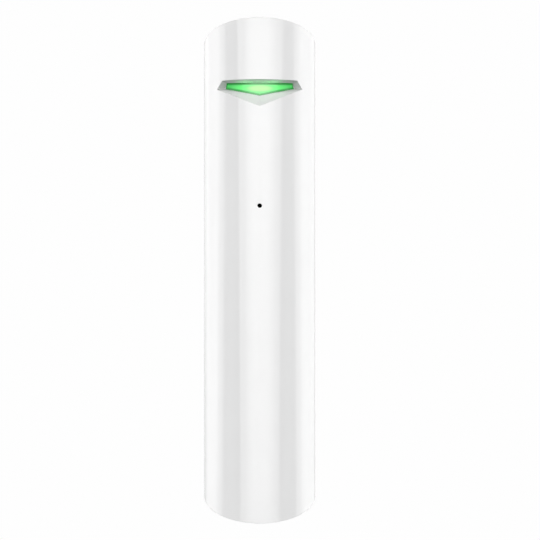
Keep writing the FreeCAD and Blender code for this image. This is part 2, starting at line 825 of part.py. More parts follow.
def board_screws():
    """Two pan head screws, from the front through the board into the cover's posts."""
    screws = []
    for side in (-1, 1):
        profile = [
            ("0", "-board_screw_length"),
            ("board_screw_radius", "-board_screw_length"),
            ("board_screw_radius", "0"),
            ("board_screw_head", "0"),
            ("board_screw_head * 0.8", "board_screw_head_height"),
            ("0", "board_screw_head_height"),
        ]
        blank = turned(f"ScrewBlank{side + 1}", profile,
                       (f"{side} * post_across", "-board_front", "post_z"), TO_FRONT)
        height = "board_front + board_screw_head_height"
        cross = [
            block(f"SlotAcross{side + 1}",
                  (f"{side} * post_across - board_screw_head * 0.6", f"{side} * post_across + board_screw_head * 0.6"),
                  (f"{height} - 0.5", f"{height} + 1"), ("post_z - screw_slot / 2", "post_z + screw_slot / 2")),
            block(f"SlotUp{side + 1}",
                  (f"{side} * post_across - screw_slot / 2", f"{side} * post_across + screw_slot / 2"),
                  (f"{height} - 0.5", f"{height} + 1"),
                  ("post_z - board_screw_head * 0.6", "post_z + board_screw_head * 0.6")),
        ]
        screws.append(cut(f"BoardScrew{side + 1}", blank, *cross))
    group = doc.addObject("Part::Compound", "BoardScrews")
    group.Links = screws
    return group


# Cell and its contacts
def lithium_cell():
    """A cylindrical cell with a crimp groove and a raised positive end."""
    radius = "cell_diameter / 2"
    body_top = "cell_length - cell_nub_height"
    groove = "cell_length - cell_groove_drop"
    profile = [
        ("0", "0"),
        (radius, "0"),
        (radius, f"{groove} - cell_groove_width"),
        (f"{radius} - cell_groove_depth", f"{groove} - cell_groove_width / 2"),
        (radius, groove),
        (radius, f"{body_top} - cell_edge"),
        (f"{radius} - cell_edge", body_top),
        ("cell_nub_radius", body_top),
        ("cell_nub_radius", "cell_length"),
        ("0", "cell_length"),
    ]
    return turned("Cell", profile, ("0", "-axis_depth", "cell_foot"), UPRIGHT)


def positive_contact():
    """A stamped plate over the cell's nub with a tab soldered to the board's front."""
    plate = block("PositivePlate", ("-contact_half", "contact_half"),
                  ("axis_depth - contact_depth / 2", "axis_depth + contact_depth / 2"),
                  ("cell_top", "cell_top + contact_thickness"))
    tab = block("PositiveTab", ("-contact_half / 3", "contact_half / 3"),
                ("board_front", "board_front + contact_thickness"), ("cell_top", "board_foot + tab_length"))
    return fuse("PositiveContact", plate, tab)


def negative_contact():
    """A stamped plate with a bowed spring tongue, and a long strip up the corner to the board."""
    plate_z = "cell_foot - spring_rise"
    level = (f"{plate_z} - contact_thickness", plate_z)
    plate = block("NegativePlate", ("-contact_half", "contact_half"),
                  ("cover_front + strip_rear_gap", "axis_depth + contact_depth / 2"), level)
    tongue = new_body("NegativeTongue")
    bow = new_sketch(tongue, "TongueBow", "XZ_Plane", "axis_depth - contact_half / 2")
    add_polygon(bow, [
        ("-spring_half", f"{plate_z} - contact_thickness / 2"),
        ("-spring_half + contact_thickness", f"{plate_z} - contact_thickness / 2"),
        ("-spring_half / 2", "cell_foot - contact_thickness"),
        ("spring_half / 2", "cell_foot - contact_thickness"),
        ("spring_half * 0.75", f"{plate_z} + spring_rise / 3"),
        ("spring_half * 0.75 + contact_thickness", f"{plate_z} + spring_rise / 3"),
        ("spring_half / 2 + contact_thickness", "cell_foot"),
        ("-spring_half / 2 - contact_thickness / 2", "cell_foot"),
    ])
    doc.recompute()
    pad(tongue, bow, "contact_half")
    strip_depth = ("cover_front + strip_rear_gap", "cover_front + strip_rear_gap + strip_width")
    strip = block("NegativeStrip", ("strip_inner", "strip_inner + strip_thickness"), strip_depth,
                  (f"{plate_z} - contact_thickness", "board_foot + tab_length"))
    wing = block("NegativeWing", ("contact_half / 2", "strip_inner + strip_thickness"), strip_depth, level)
    tab = block("NegativeTab", ("strip_inner", "strip_inner + strip_thickness"),
                (strip_depth[0], "board_rear"), ("board_foot + 0.2", "board_foot + tab_length"))
    return fuse("NegativeContact", plate, wing, tongue, strip, tab)


# Microphone
def microphone_capsule():
    """The round capsule on the board's front, with a stepped front ring."""
    profile = [
        ("0", "0"),
        ("mic_radius", "0"),
        ("mic_radius", "mic_length"),
        ("mic_radius - 1.2", "mic_length"),
        ("mic_radius - 1.2", "mic_length - 0.3"),
        ("0", "mic_length - 0.3"),
    ]
    return turned("Capsule", profile, ("0", "-board_front", "mic_z"), TO_FRONT)


def microphone_boot():
    """The rubber boot that seals the capsule to the hole in the front wall."""
    front = "mic_length + boot_front"
    nose = "axis_depth + sqrt(inner_radius ^ 2 - nose_radius ^ 2) - board_front - nose_gap"
    profile = [
        ("mic_radius", "boot_start"),
        ("mic_radius + boot_wall", "boot_start"),
        ("mic_radius + boot_wall", front),
        ("nose_radius + 0.7", front),
        ("nose_radius", f"{nose}"),
        ("channel_radius", f"{nose}"),
        ("channel_radius", "mic_length"),
        ("mic_radius", "mic_length"),
    ]
    return turned("Boot", profile, ("0", "-board_front", "mic_z"), TO_FRONT)


# Push switches
def switch_body(name, level):
    """A square push switch on the board's back, hollow round its button."""
    rear = "board_rear - switch_height"
    case = block(name + "Case", ("-switch_half", "switch_half"), (rear, "board_rear"),
                 (f"{level} - switch_half", f"{level} + switch_half"))
    bore = rod(name + "Bore", "button_radius + button_play", "0", level, (f"{rear} - 1", f"{rear} + switch_roof + 0.1"))
    cavity = rod(name + "Cavity", "cavity_radius", "0", level,
                 (f"{rear} + switch_roof", f"{rear} + switch_roof + switch_cavity"))
    return cut(name, case, bore, cavity)


def button(name, level, tip):
    """A round button with a flange kept under the switch's roof."""
    foot = "board_rear - switch_height + switch_roof + flange_height + 0.1"
    length = f"({foot} - ({tip}))"
    profile = [
        ("0", "0"),
        ("flange_radius", "0"),
        ("flange_radius", "flange_height"),
        ("button_radius", "flange_height"),
        ("button_radius", f"{length} - 0.3"),
        ("button_radius - 0.3", length),
        ("0", length),
    ]
    return turned(name, profile, ("0", f"-({foot})", level), TO_REAR)


# Terminal block
def terminal_block():
    """A two-way terminal block with wells for its screws and holes for the wires."""
    rear = "board_rear - terminal_rise"
    case = block("TerminalCase", ("-terminal_half", "terminal_half"), (rear, "board_rear"),
                 ("terminal_z - terminal_height / 2", "terminal_z + terminal_height / 2"))
    holes = []
    for side in (-1, 1):
        across = f"{side} * terminal_pitch / 2"
        holes.append(rod(f"ScrewWell{side + 1}", "well_radius", across, "terminal_z",
                         (f"{rear} - 1", f"{rear} + well_depth")))
        entry = doc.addObject("Part::Cylinder", f"WireHole{side + 1}")
        bind(entry, "Radius", "entry_radius")
        bind(entry, "Height", "terminal_height / 2 + 1")
        bind(entry, "Placement.Base.x", across)
        bind(entry, "Placement.Base.y", f"-({rear} + well_depth + entry_radius + 0.2)")
        bind(entry, "Placement.Base.z", "terminal_z")
        holes.append(entry)
    return cut("TerminalBlock", case, *holes)


def terminal_screws():
    """Two slotted screws at the bottom of the block's wells."""
    foot = "board_rear - terminal_rise + well_depth"
    screws = []
    for side in (-1, 1):
        across = f"{side} * terminal_pitch / 2"
        head = rod(f"TerminalHead{side + 1}", "terminal_screw_radius", across, "terminal_z",
                   (f"{foot} - terminal_screw_height", foot))
        slot = block(f"TerminalSlot{side + 1}",
                     (f"{across} - screw_slot / 2", f"{across} + screw_slot / 2"),
                     (f"{foot} - terminal_screw_height - 1", f"{foot} - terminal_screw_height / 2"),
                     ("terminal_z - 2 * terminal_screw_radius", "terminal_z + 2 * terminal_screw_radius"))
        screws.append(cut(f"TerminalScrew{side + 1}", head, slot))
    group = doc.addObject("Part::Compound", "TerminalScrews")
    group.Links = screws
    return group


# Radio parts
def radio_shield():
    """A tinned can over the radio chip, open towards the board, with a row of vent holes."""
    low = "shield_z - shield_height / 2"
    high = "shield_z + shield_height / 2"
    can = block("ShieldCan", ("-shield_half", "shield_half"), ("board_front", "board_front + shield_rise"),
                (low, high))
    room = block("ShieldRoom", ("-shield_half + shield_wall", "shield_half - shield_wall"),
                 ("board_front - 1", "board_front + shield_rise - shield_wall"),
                 (f"{low} + shield_wall", f"{high} - shield_wall"))
    vents = [rod(f"Vent{step}", "vent_radius", f"{step - 1} * vent_pitch", "shield_z",
                 ("board_front + shield_rise / 2", "board_front + shield_rise + 1")) for step in range(3)]
    return cut("RadioShield", can, room, *vents)


def antenna(name, side, length):
    """A stamped strip on two legs that stands on the board's edge."""
    inner = f"{side} * antenna_across"
    outer = f"{side} * (antenna_across + antenna_thickness)"
    across = (inner, outer) if side > 0 else (outer, inner)
    foot = "board_foot + antenna_foot"
    spine = block(name + "Spine", across,
                  ("board_front + antenna_rise - antenna_strip", "board_front + antenna_rise"),
                  (foot, f"{foot} + {length}"))
    pieces = [spine]
    for index, level in enumerate((foot, f"{foot} + 3")):
        pieces.append(block(f"{name}Leg{index}", across, ("board_front", "board_front + antenna_rise"),
                            (level, f"{level} + antenna_strip")))
    pieces.append(block(name + "Tip", across, ("board_front + 0.8", "board_front + antenna_rise"),
                        (f"{foot} + {length} - antenna_strip", f"{foot} + {length}")))
    return fuse(name, *pieces)


# Chips and small parts on the board's back
def chip(name, across, level, half, rise, pins):
    """A flat chip with pins down both sides."""
    rear = f"board_rear - {rise}"
    pieces = [block(name + "Case", (f"{across} - {half}", f"{across} + {half}"), (rear, "board_rear - 0.1"),
                    (f"{level} - {half}", f"{level} + {half}"))]
    for index in range(pins):
        middle = f"{level} + {half} * {(2 * index + 1 - pins) / pins:.3f}"
        pieces.append(block(f"{name}Pin{index}", (f"{across} - {half} - pin_reach", f"{across} + {half} + pin_reach"),
                            ("board_rear - 0.25", "board_rear"),
                            (f"{middle} - pin_width / 2", f"{middle} + pin_width / 2")))
    return fuse(name, *pieces)


def quartz_crystal():
    """A small metal can with a stepped lid."""
    across = "crystal_across"
    level = "board_foot + crystal_above"
    base = block("CrystalBase", (f"{across} - crystal_half", f"{across} + crystal_half"),
                 ("board_rear - crystal_rise + 0.3", "board_rear"),
                 (f"{level} - crystal_height / 2", f"{level} + crystal_height / 2"))
    lid = block("CrystalLid", (f"{across} - crystal_half + 0.2", f"{across} + crystal_half - 0.2"),
                ("board_rear - crystal_rise", "board_rear - 0.2"),
                (f"{level} - crystal_height / 2 + 0.2", f"{level} + crystal_height / 2 - 0.2"))
    return fuse("QuartzCrystal", base, lid)


def smoothing_capacitor():
    """A small can capacitor with a bead near its foot."""
    profile = [
        ("0", "0"),
        ("capacitor_radius", "0"),
        ("capacitor_radius", "capacitor_length - 0.3"),
        ("capacitor_radius - 0.3", "capacitor_length"),
        ("0", "capacitor_length"),
    ]
    return turned("Capacitor", profile,
                  ("-capacitor_across", "-board_rear", "board_foot + capacitor_above"), TO_REAR)


def indicator_led():
    """The light below the guide: a square case with a round window."""
    case = block("LedCase", ("-led_half", "led_half"), ("board_front", "board_front + led_thickness"),
                 ("lens_middle - led_height / 2", "lens_middle + led_height / 2"))
    cup = rod("LedCup", "led_height * 0.36", "0", "lens_middle",
              ("board_front + led_thickness - 0.3", "board_front + led_thickness + 1"))
    return cut("IndicatorLed", case, cup)


NODES = {
    "wall_bracket": wall_bracket(),
    "front_housing": front_housing(),
    "rear_cover": rear_cover(),
    "light_guide": light_guide(),
    "circuit_board": circuit_board(),
    "board_screws": board_screws(),
    "indicator_led": indicator_led(),
    "microphone_capsule": microphone_capsule(),
    "microphone_boot": microphone_boot(),
    "lithium_cell": lithium_cell(),
    "positive_contact": positive_contact(),
    "negative_contact": negative_contact(),
    "tamper_switch_body": switch_body("TamperSwitch", "tamper_z"),
    "tamper_plunger": button("TamperButton", "tamper_z", "bracket_thickness + tamper_gap"),
    "power_switch_body": switch_body("PowerSwitch", "power_z"),
    "power_plunger": button("PowerButton", "power_z", "cover_rear + power_sink"),
    "terminal_block": terminal_block(),
    "terminal_screws": terminal_screws(),
    "radio_shield": radio_shield(),
    "main_antenna": antenna("MainAntenna", 1, "antenna_length"),
    "second_antenna": antenna("SecondAntenna", -1, "second_length"),
    "processor_chip": chip("Processor", "-processor_across", "board_foot + processor_above",
                           "processor_half", "processor_rise", 6),
    "amplifier_chip": chip("Amplifier", "amplifier_across", "board_foot + amplifier_above",
                           "amplifier_half", "amplifier_rise", 4),
    "quartz_crystal": quartz_crystal(),
    "smoothing_capacitor": smoothing_capacitor(),
}

for label, piece in NODES.items():
    piece.Label = label
doc.recompute()

# Every object is sound before anything is written
for item in doc.Objects:
    if any(state in ("Invalid", "Error") for state in item.State):
        raise RuntimeError(f"{item.Name} did not recompute: {item.State}")
for label, piece in NODES.items():
    if piece.Shape.isNull() or not piece.Shape.isValid():
        raise RuntimeError(f"{label} has no valid shape")

os.makedirs("parts", exist_ok=True)
for label, piece in NODES.items():
    piece.Shape.exportStep(os.path.join("parts", label + ".step"))
    box = piece.Shape.BoundBox
    print(f"{label}: {len(piece.Shape.Solids)} solid, {piece.Shape.Volume:.1f} mm3, "
          f"y {box.YMin:.2f} to {box.YMax:.2f}, z {box.ZMin:.2f} to {box.ZMax:.2f}")
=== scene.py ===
"""Wireless glass break sensor: studio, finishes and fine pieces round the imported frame.

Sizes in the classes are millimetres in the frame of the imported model: X to the right, Z up, the wall at
y = 0 and the front towards -Y. Meshes are built in millimetres and brought to metres once, at the end.
"""

import functools
import logging
import math
from abc import ABC, abstractmethod
from dataclasses import dataclass
from enum import Enum
from typing import Any, Callable, Iterable, NamedTuple, Sequence

import bmesh
import bpy
from bmesh.types import BMEdge, BMesh, BMFace
from bpy.types import ID, Material, Node, NodeOutputs, NodeSocket, NodeTree, Object, World
from mathutils import Matrix, Vector


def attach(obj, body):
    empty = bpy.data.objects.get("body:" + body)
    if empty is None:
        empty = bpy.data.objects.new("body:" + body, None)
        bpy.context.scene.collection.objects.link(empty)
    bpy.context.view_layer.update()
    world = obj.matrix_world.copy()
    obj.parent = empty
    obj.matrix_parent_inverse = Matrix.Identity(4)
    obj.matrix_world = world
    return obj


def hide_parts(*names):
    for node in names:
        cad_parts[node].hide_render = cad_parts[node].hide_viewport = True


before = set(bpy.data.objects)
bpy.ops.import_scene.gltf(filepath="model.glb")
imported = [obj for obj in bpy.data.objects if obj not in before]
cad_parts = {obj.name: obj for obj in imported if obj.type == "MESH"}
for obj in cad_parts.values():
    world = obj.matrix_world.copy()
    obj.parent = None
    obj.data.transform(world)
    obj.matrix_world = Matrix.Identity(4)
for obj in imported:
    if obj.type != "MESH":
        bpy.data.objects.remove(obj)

LOG = logging.getLogger("glass_break_sensor")
MM = 0.001
# How far the cell's axis, which the front is round about, is from the wall
AXIS = 11.0
Point = tuple[float, float]
Place = tuple[float, float, float]
Source = Node | NodeSocket
# Adds a node to one tree: add_node without its first argument
Add = Callable[..., Node]


class Body(Enum):
    """The moving bodies that a piece can ride on."""

    BRACKET = "bracket"
    DETECTOR = "detector"


class Cut(Enum):
    """How one solid works on another."""

    TAKE = "DIFFERENCE"
    ADD = "UNION"


# Colour, node and scene helpers


def linear(code: str) -> tuple[float, float, float, float]:
    """Turn an sRGB hex colour into the linear values that shaders use.

    Args:
        code: Colour such as "#F2F2F0".

    Returns:
        Linear red, green and blue, with an alpha of 1.
    """
    parts = [int(code[i:i + 2], 16) / 255 for i in (1, 3, 5)]
    low = [p / 12.92 if p <= 0.04045 else ((p + 0.055) / 1.055) ** 2.4 for p in parts]
    return (low[0], low[1], low[2], 1.0)


def feed(node: Node, sources: dict[str | int, Any]) -> None:
    """Give a node's inputs their fixed values and links.

    Args:
        node: The node.
        sources: For each input, by name or number, a fixed value, the output socket that feeds it, or a node
            whose first output in use feeds it.
    """
    for key, source in sources.items():
        if isinstance(source, Node):
            source = next(output for output in source.outputs if output.enabled)
        if isinstance(source, NodeSocket):
            node.id_data.links.new(source, node.inputs[key])
        else:
            node.inputs[key].default_value = source


def add_node(tree: NodeTree, kind: str, sources: dict[str | int, Any] | None = None, **settings: Any) -> Node:
    """Add one node with its settings, fixed values and incoming links.

    Args:
        tree: Shader or geometry tree.
        kind: Blender's name for the node's type, where a leading ShaderNode may be left out.
        sources: What feeds its inputs, as in feed.
        settings: Properties of the node, such as operation.

    Returns:
        The new node.
    """
    node = tree.nodes.new(kind if "Node" in kind else f"ShaderNode{kind}")
    for key, setting in settings.items():
        setattr(node, key, setting)
    feed(node, sources or {})
    return node


def emptied(owner: Material | World) -> Add:
    """Give a material or a world an empty tree.

    Args:
        owner: The material or world.

    Returns:
        What adds a node to its tree.
    """
    owner.use_nodes = True
    owner.node_tree.nodes.clear()
    return functools.partial(add_node, owner.node_tree)


def placed(name: str, data: ID) -> Object:
    """Put a mesh, lamp or camera in the scene.

    Args:
        name: Name of the object.
        data: What it shows.

    Returns:
        The object, at the origin.
    """
    made = bpy.data.objects.new(name, data)
    bpy.context.scene.collection.objects.link(made)
    return made


def meshed(name: str, build: BMesh) -> Object:
    """Put a mesh under construction in the scene.

    Args:
        name: Name of the object.
        build: The mesh; it is freed.

    Returns:
        The object.
    """
    mesh = bpy.data.meshes.new(name)
    build.to_mesh(mesh)
    build.free()
    return placed(name, mesh)


# Finishes


@dataclass(frozen=True)
class Finish(ABC):
    """One finish of the object, named for what the real one is and how it was made."""

    name: str

    @abstractmethod
    def shade(self, add: Add, shader: Node, place: NodeSocket) -> None:
        """Set the shader's own sockets and add the pattern.

        Args:
            add: Adds a node to the material's tree.
            shader: Its Principled shader.
            place: Object coordinates in metres.
        """

    def build(self) -> Material:
        """Make the Blender material.

        Returns:
            The finished material.
        """
        material = bpy.data.materials.new(self.name)
        material.use_nodes = True
        add = functools.partial(add_node, material.node_tree)
        self.shade(add, material.node_tree.nodes["Principled BSDF"], add("TexCoord").outputs["Object"])
        return material


def grain(add: Add, shader: Node, place: Source, cell: float, depth: float, detail: float = 2.0) -> Node:
    """Raise a fine grain on a surface.

    Args:
        add: Adds a node to the material's tree.
        shader: Shader that gets the grain as its normal.
        place: Coordinates in metres.
        cell: Width of one grain in millimetres.
        depth: Height of the relief in millimetres.
        detail: Octaves of the noise.

    Returns:
        The noise node, for other uses of the same pattern.
    """
    noise = add("TexNoise", {"Vector": place, "Scale": 1 / (cell * MM), "Detail": detail, "Roughness": 0.5})
    bump = add("Bump", {"Height": noise, "Distance": depth * MM, "Strength": 1.0})
    feed(shader, {"Normal": bump})
    return noise


@dataclass(frozen=True)
class MouldedPlastic(Finish):
    """Injection moulded plastic; the tool's own surface gives it polish or a spark-eroded grain."""

    colour: str
    shade_colour: str
    roughness: float
    cell: float
    depth: float
    cloud: float = 6.0
    ior: float = 1.53

    def shade(self, add: Add, shader: Node, place: NodeSocket) -> None:
        """Pigment that clouds very slightly, a measured gloss and the tool's grain.

        Args:
            add: Adds a node to the material's tree.
            shader: Its Principled shader.
            place: Object coordinates in metres.
        """
        cloud = add("TexNoise", {"Vector": place, "Scale": 1 / (self.cloud * MM), "Detail": 3.0})
        pigment = add("Mix", {
            "Factor": cloud, "A": linear(self.colour), "B": linear(self.shade_colour)}, data_type="RGBA")
        feed(shader, {"Base Color": pigment, "Roughness": self.roughness, "IOR": self.ior})
        grain(add, shader, place, self.cell, self.depth)


@dataclass(frozen=True)
class LitGuide(Finish):
    """Clear acrylic light guide lit green from behind, brightest over the light, with painted shade at its
    edge.

    It sends its light ahead, so only a share of the glow falls on what stands round it.
    """

    middle: str
    body: str
    tip: str
    # Colour of the painted shade line along the lens outline, standing in for the shaded gap round the lens
    edge: str
    unlit: str
    strength: float
    aside: float
    top: float
    corner: Point
    shoulder: Point
    foot: float
    # Widths of the painted shade line along each side of the outline, and where its darkest part ends
    rims: tuple[float, float, float]
    shade_line_core: float
    hot_half: Point
    hot_height: float
    middle_to: float = 0.22
    body_at: float = 0.5
    roughness: float = 0.12
    ior: float = 1.49

    def shade(self, add: Add, shader: Node, place: NodeSocket) -> None:
        """Glow by distance from the light, with a dark line of painted shade along the lens outline for the
        shaded gap round the lens.

        Args:
            add: Adds a node to the material's tree.
            shader: Its Principled shader.
            place: Object coordinates in metres.
        """
        axes = add("SeparateXYZ", {0: place}).outputs
        across = add("Math", {0: axes["X"]}, operation="ABSOLUTE")
        point = add("CombineXYZ", {"X": across, "Y": 0.0, "Z": axes["Z"]})
        corners = ((0.0, self.top), self.corner, self.shoulder, (0.0, self.foot))
        nearest = None
        for (x0, z0), (x1, z1), rim in zip(corners, corners[1:], self.rims):
            length = math.hypot(x1 - x0, z1 - z0)
            inward = ((z1 - z0) / length / (rim * MM), 0.0, -(x1 - x0) / length / (rim * MM))
            reach = add("VectorMath", {0: point, 1: (x0 * MM, 0.0, z0 * MM)}, operation="SUBTRACT")
            reach = add("VectorMath", {0: reach, 1: inward}, operation="DOT_PRODUCT")
            if nearest:
                reach = add("Math", {0: nearest, 1: reach}, operation="MINIMUM")
            nearest = reach
        spread = add("VectorMath", {0: point, 1: (0.0, 0.0, self.hot_height * MM)}, operation="SUBTRACT")
        spread = add("VectorMath", {
            0: spread, 1: (self.hot_half[0] * MM, 1.0, self.hot_half[1] * MM)}, operation="DIVIDE")
        spread = add("VectorMath", {0: spread}, operation="LENGTH")
        glow = add("ValToRGB", {0: spread})
        glow.color_ramp.interpolation = "EASE"
        stops = glow.color_ramp.elements
        stops[0].color = linear(self.middle)
        stops[0].position = self.middle_to
        stops[1].color = linear(self.tip)
        stops.new(self.body_at).color = linear(self.body)
        # Painted shade: near the outline the glow is mixed towards the dark edge colour, in place of the
        # shaded gap round the lens
        inside = add("MapRange", {
            "Value": nearest, "From Min": self.shade_line_core, "From Max": 1.0}, interpolation_type="SMOOTHSTEP")
        light = add("Mix", {"Factor": inside, "A": linear(self.edge), "B": glow}, data_type="RGBA")
        ahead = add("MapRange", {
            "Value": add("LightPath").outputs["Is Diffuse Ray"], "To Min": 1.0, "To Max": self.aside})
        light = add("VectorMath", {0: light, "Scale": ahead}, operation="SCALE")
        feed(shader, {
            "Emission Color": light, "Emission Strength": self.strength, "Base Color": linear(self.unlit),
            "Roughness": self.roughness, "IOR": self.ior})


@dataclass(frozen=True)
class SheetMetal(Finish):
    """Bare or plated metal; rolling or turning leaves fine lines along one axis."""

    colour: str
    roughness: float
    line: float
    depth: float
    along: Place = (0.05, 1.0, 1.0)
    uneven: float = 0.3

    def shade(self, add: Add, shader: Node, place: NodeSocket) -> None:
        """Metal with lines that stretch along the direction it was worked.

        Args:
            add: Adds a node to the material's tree.
            shader: Its Principled shader.
            place: Object coordinates in metres.
        """
        stretch = add("Mapping", {"Vector": place, "Scale": self.along})
        gloss = add("MapRange", {
            "Value": grain(add, shader, stretch, self.line, self.depth, 4.0),
            "To Min": self.roughness * (1 - self.uneven), "To Max": self.roughness * (1 + self.uneven)})
        feed(shader, {"Base Color": linear(self.colour), "Metallic": 1.0, "Roughness": gloss})


@dataclass(frozen=True)
class SolderMask(Finish):
    """Glass-filled board under green lacquer; copper tracks show through as lighter lines."""

    lacquer: str
    track: str
    pitch: float
    width: float
    depth: float
    run: float = 5.0
    left_out: float = 0.45
    roughness: float = 0.28

    def shade(self, add: Add, shader: Node, place: NodeSocket) -> None:
        """Straight tracks both ways, broken off at random, a little proud of the board.

        Args:
            add: Adds a node to the material's tree.
            shader: Its Principled shader.
            place: Object coordinates in metres.
        """
        grid = add("VectorMath", {0: place, "Scale": 1 / (self.pitch * MM)}, operation="SCALE")
        offset = add("VectorMath", {0: grid}, operation="FRACTION")
        axes = add("SeparateXYZ", {0: offset}).outputs
        lines = []
        for axis, stretch in (("X", (1.0, 0.0, 1 / self.run)), ("Z", (1 / self.run, 0.0, 1.0))):
            lane = add("VectorMath", {0: grid, 1: stretch}, operation="MULTIPLY")
            lane = add("VectorMath", {0: lane}, operation="FLOOR")
            chance = add("TexWhiteNoise", {"Vector": lane})
            kept = add("Math", {0: chance, 1: self.left_out}, operation="GREATER_THAN")
            inside = add("Math", {0: axes[axis], 1: 0.5, 2: self.width / self.pitch / 2}, operation="COMPARE")
            lines.append(add("Math", {0: inside, 1: kept}, operation="MULTIPLY"))
        mask = add("Math", {0: lines[0], 1: lines[1]}, operation="MAXIMUM")
        tone = add("Mix", {
            "Factor": mask, "A": linear(self.lacquer), "B": linear(self.track)}, data_type="RGBA")
        bump = add("Bump", {"Height": mask, "Distance": self.depth * MM})
        feed(shader, {"Base Color": tone, "Normal": bump, "Roughness": self.roughness})


@dataclass(frozen=True)
class CellSleeve(Finish):
    """Printed shrink film over a steel can: film up to the crimp, bare nickel plate above it."""

    film: str
    band: str
    plate: str
    foot: float
    band_top: float
    top: float
    crimp: float = 0.985
    roughness: float = 0.3
    crinkle: float = 2.5
    depth: float = 0.02

    def shade(self, add: Add, shader: Node, place: NodeSocket) -> None:
        """Colours by height, with a slight crinkle in the film.

        Args:
            add: Adds a node to the material's tree.
            shader: Its Principled shader.
            place: Object coordinates in metres.
        """
        share = add("MapRange", {
            "Value": add("SeparateXYZ", {0: place}).outputs["Z"],
            "From Min": self.foot * MM, "From Max": self.top * MM})
        zones = add("ValToRGB", {0: share})
        zones.color_ramp.interpolation = "CONSTANT"
        stops = zones.color_ramp.elements
        stops[0].color = linear(self.band)
        stops[1].position = (self.band_top - self.foot) / (self.top - self.foot)
        stops[1].color = linear(self.film)
        stops.new(self.crimp).color = linear(self.plate)
        bare = add("Math", {0: share, 1: self.crimp}, operation="GREATER_THAN")
        feed(shader, {"Base Color": zones, "Metallic": bare, "Roughness": self.roughness})
        grain(add, shader, place, self.crinkle, self.depth)


@dataclass(frozen=True)
class Phosphor(Finish):
    """White light package; yellow phosphor fills its round cup."""

    case: str
    cup: str
    centre: Point
    radius: float
    roughness: float = 0.35
    cell: float = 0.2
    depth: float = 0.002

    def shade(self, add: Add, shader: Node, place: NodeSocket) -> None:
        """Yellow inside the cup's radius, white outside.

        Args:
            add: Adds a node to the material's tree.
            shader: Its Principled shader.
            place: Object coordinates in metres.
        """
        flat = add("VectorMath", {0: place, 1: (1.0, 0.0, 1.0)}, operation="MULTIPLY")
        reach = add("VectorMath", {
            0: flat, 1: (self.centre[0] * MM, 0.0, self.centre[1] * MM)}, operation="DISTANCE")
        inside = add("Math", {0: reach, 1: self.radius * MM}, operation="LESS_THAN")
        tone = add("Mix", {"Factor": inside, "A": linear(self.case), "B": linear(self.cup)}, data_type="RGBA")
        feed(shader, {"Base Color": tone, "Roughness": self.roughness})
        grain(add, shader, place, self.cell, self.depth)


# White ABS off a polished tool: even colour, clear reflections, the faintest orange peel
HOUSING_ABS = MouldedPlastic(
    "polished_white_abs", "#EFEFEF", "#EBEBEB", roughness=0.07, cell=0.9, depth=0.0006)
# The same ABS off a spark-eroded tool: a fine matt grain that a fingernail can feel
COVER_ABS = MouldedPlastic("eroded_white_abs", "#E9E9E7", "#E3E3E1", roughness=0.42, cell=0.22, depth=0.006)
# The bracket's tool has a coarser grain and its plastic is a little yellower, because it faces the wall
BRACKET_ABS = MouldedPlastic(
    "eroded_bracket_abs", "#ECECEA", "#E6E6E4", roughness=0.48, cell=0.3, depth=0.008)
# Clear acrylic with the green light in it: pale over the light, deeper towards the ends, painted shade at its
# edge
GUIDE_ACRYLIC = LitGuide(
    "lit_green_acrylic", middle="#A8E48C", body="#66F078", tip="#48C85C", edge="#2C8A3C", unlit="#1E4A2A",
    strength=1.0, aside=0.2, top=33.2, corner=(5.85, 33.2), shoulder=(6.05, 32.4), foot=31.15,
    rims=(0.2, 0.22, 0.45), shade_line_core=0.3, hot_half=(5.8, 1.45), hot_height=32.42)
# Glass-filled epoxy under a glossy green lacquer: tracks show lighter and catch the light on their sides
BOARD_LAMINATE = SolderMask("lacquered_board", "#14532D", "#1C6B3B", pitch=0.55, width=0.18, depth=0.03)
# Cold-headed and zinc-plated steel: pale blue-grey, with fine drawing lines in the plate
SCREW_STEEL = SheetMetal("zinc_plated_steel", "#C9CCD0", roughness=0.28, line=0.15, depth=0.002)
# Rolled and tinned sheet: a soft grey shine with the roller's lines
SHIELD_TIN = SheetMetal("tinned_sheet", "#CFCFCB", roughness=0.32, line=0.25, depth=0.002)
# Stamped brass strip: warm yellow, its rolling lines along the strip
ANTENNA_BRASS = SheetMetal(
    "stamped_brass", "#C9A55B", roughness=0.25, line=0.2, depth=0.002, along=(1.0, 1.0, 0.05))
# Shrink film printed blue and gold over a nickel-plated can: slightly crinkled, bare metal at the crimp
CELL_FILM = CellSleeve(
    "shrink_sleeve", film="#1F3F6B", band="#C7A14A", plate="#C4C6C8", foot=-32.0, band_top=-24.0, top=2.5)
# Deep-drawn aluminium can: bright grey, drawn lines down its side
CAN_ALUMINIUM = SheetMetal(
    "drawn_aluminium", "#D3D5D6", roughness=0.30, line=0.18, depth=0.002, along=(1.0, 0.05, 1.0))
# Soft moulded rubber: nearly black, a broad dull shine
BOOT_RUBBER = MouldedPlastic("moulded_rubber", "#2B2C2E", "#242527", roughness=0.62, cell=0.25, depth=0.01)
# Transfer-moulded epoxy: black, with the fine matt skin that its filler leaves
CHIP_EPOXY = MouldedPlastic("moulding_compound", "#1D1E20", "#232427", roughness=0.55, cell=0.12, depth=0.004)
# Moulded white package whose cup is filled with yellow phosphor gel
LIGHT_CASE = Phosphor("light_package", case="#F0EFE8", cup="#E5C84A", centre=(0.0, 32.175), radius=0.94)
# Moulded green nylon: satin, a little cloudy
TERMINAL_NYLON = MouldedPlastic("green_nylon", "#2E8B57", "#2A8051", roughness=0.38, cell=0.35, depth=0.004)
# Moulded grey acetal: slippery and slightly waxy
BUTTON_ACETAL = MouldedPlastic("grey_acetal", "#6F7377", "#6A6E72", roughness=0.33, cell=0.3, depth=0.003)
# Black felt over the microphone: no gloss, loose short hairs
FELT = MouldedPlastic("black_felt", "#0B0B0C", "#060607", roughness=0.95, cell=0.12, depth=0.02)

# Studio


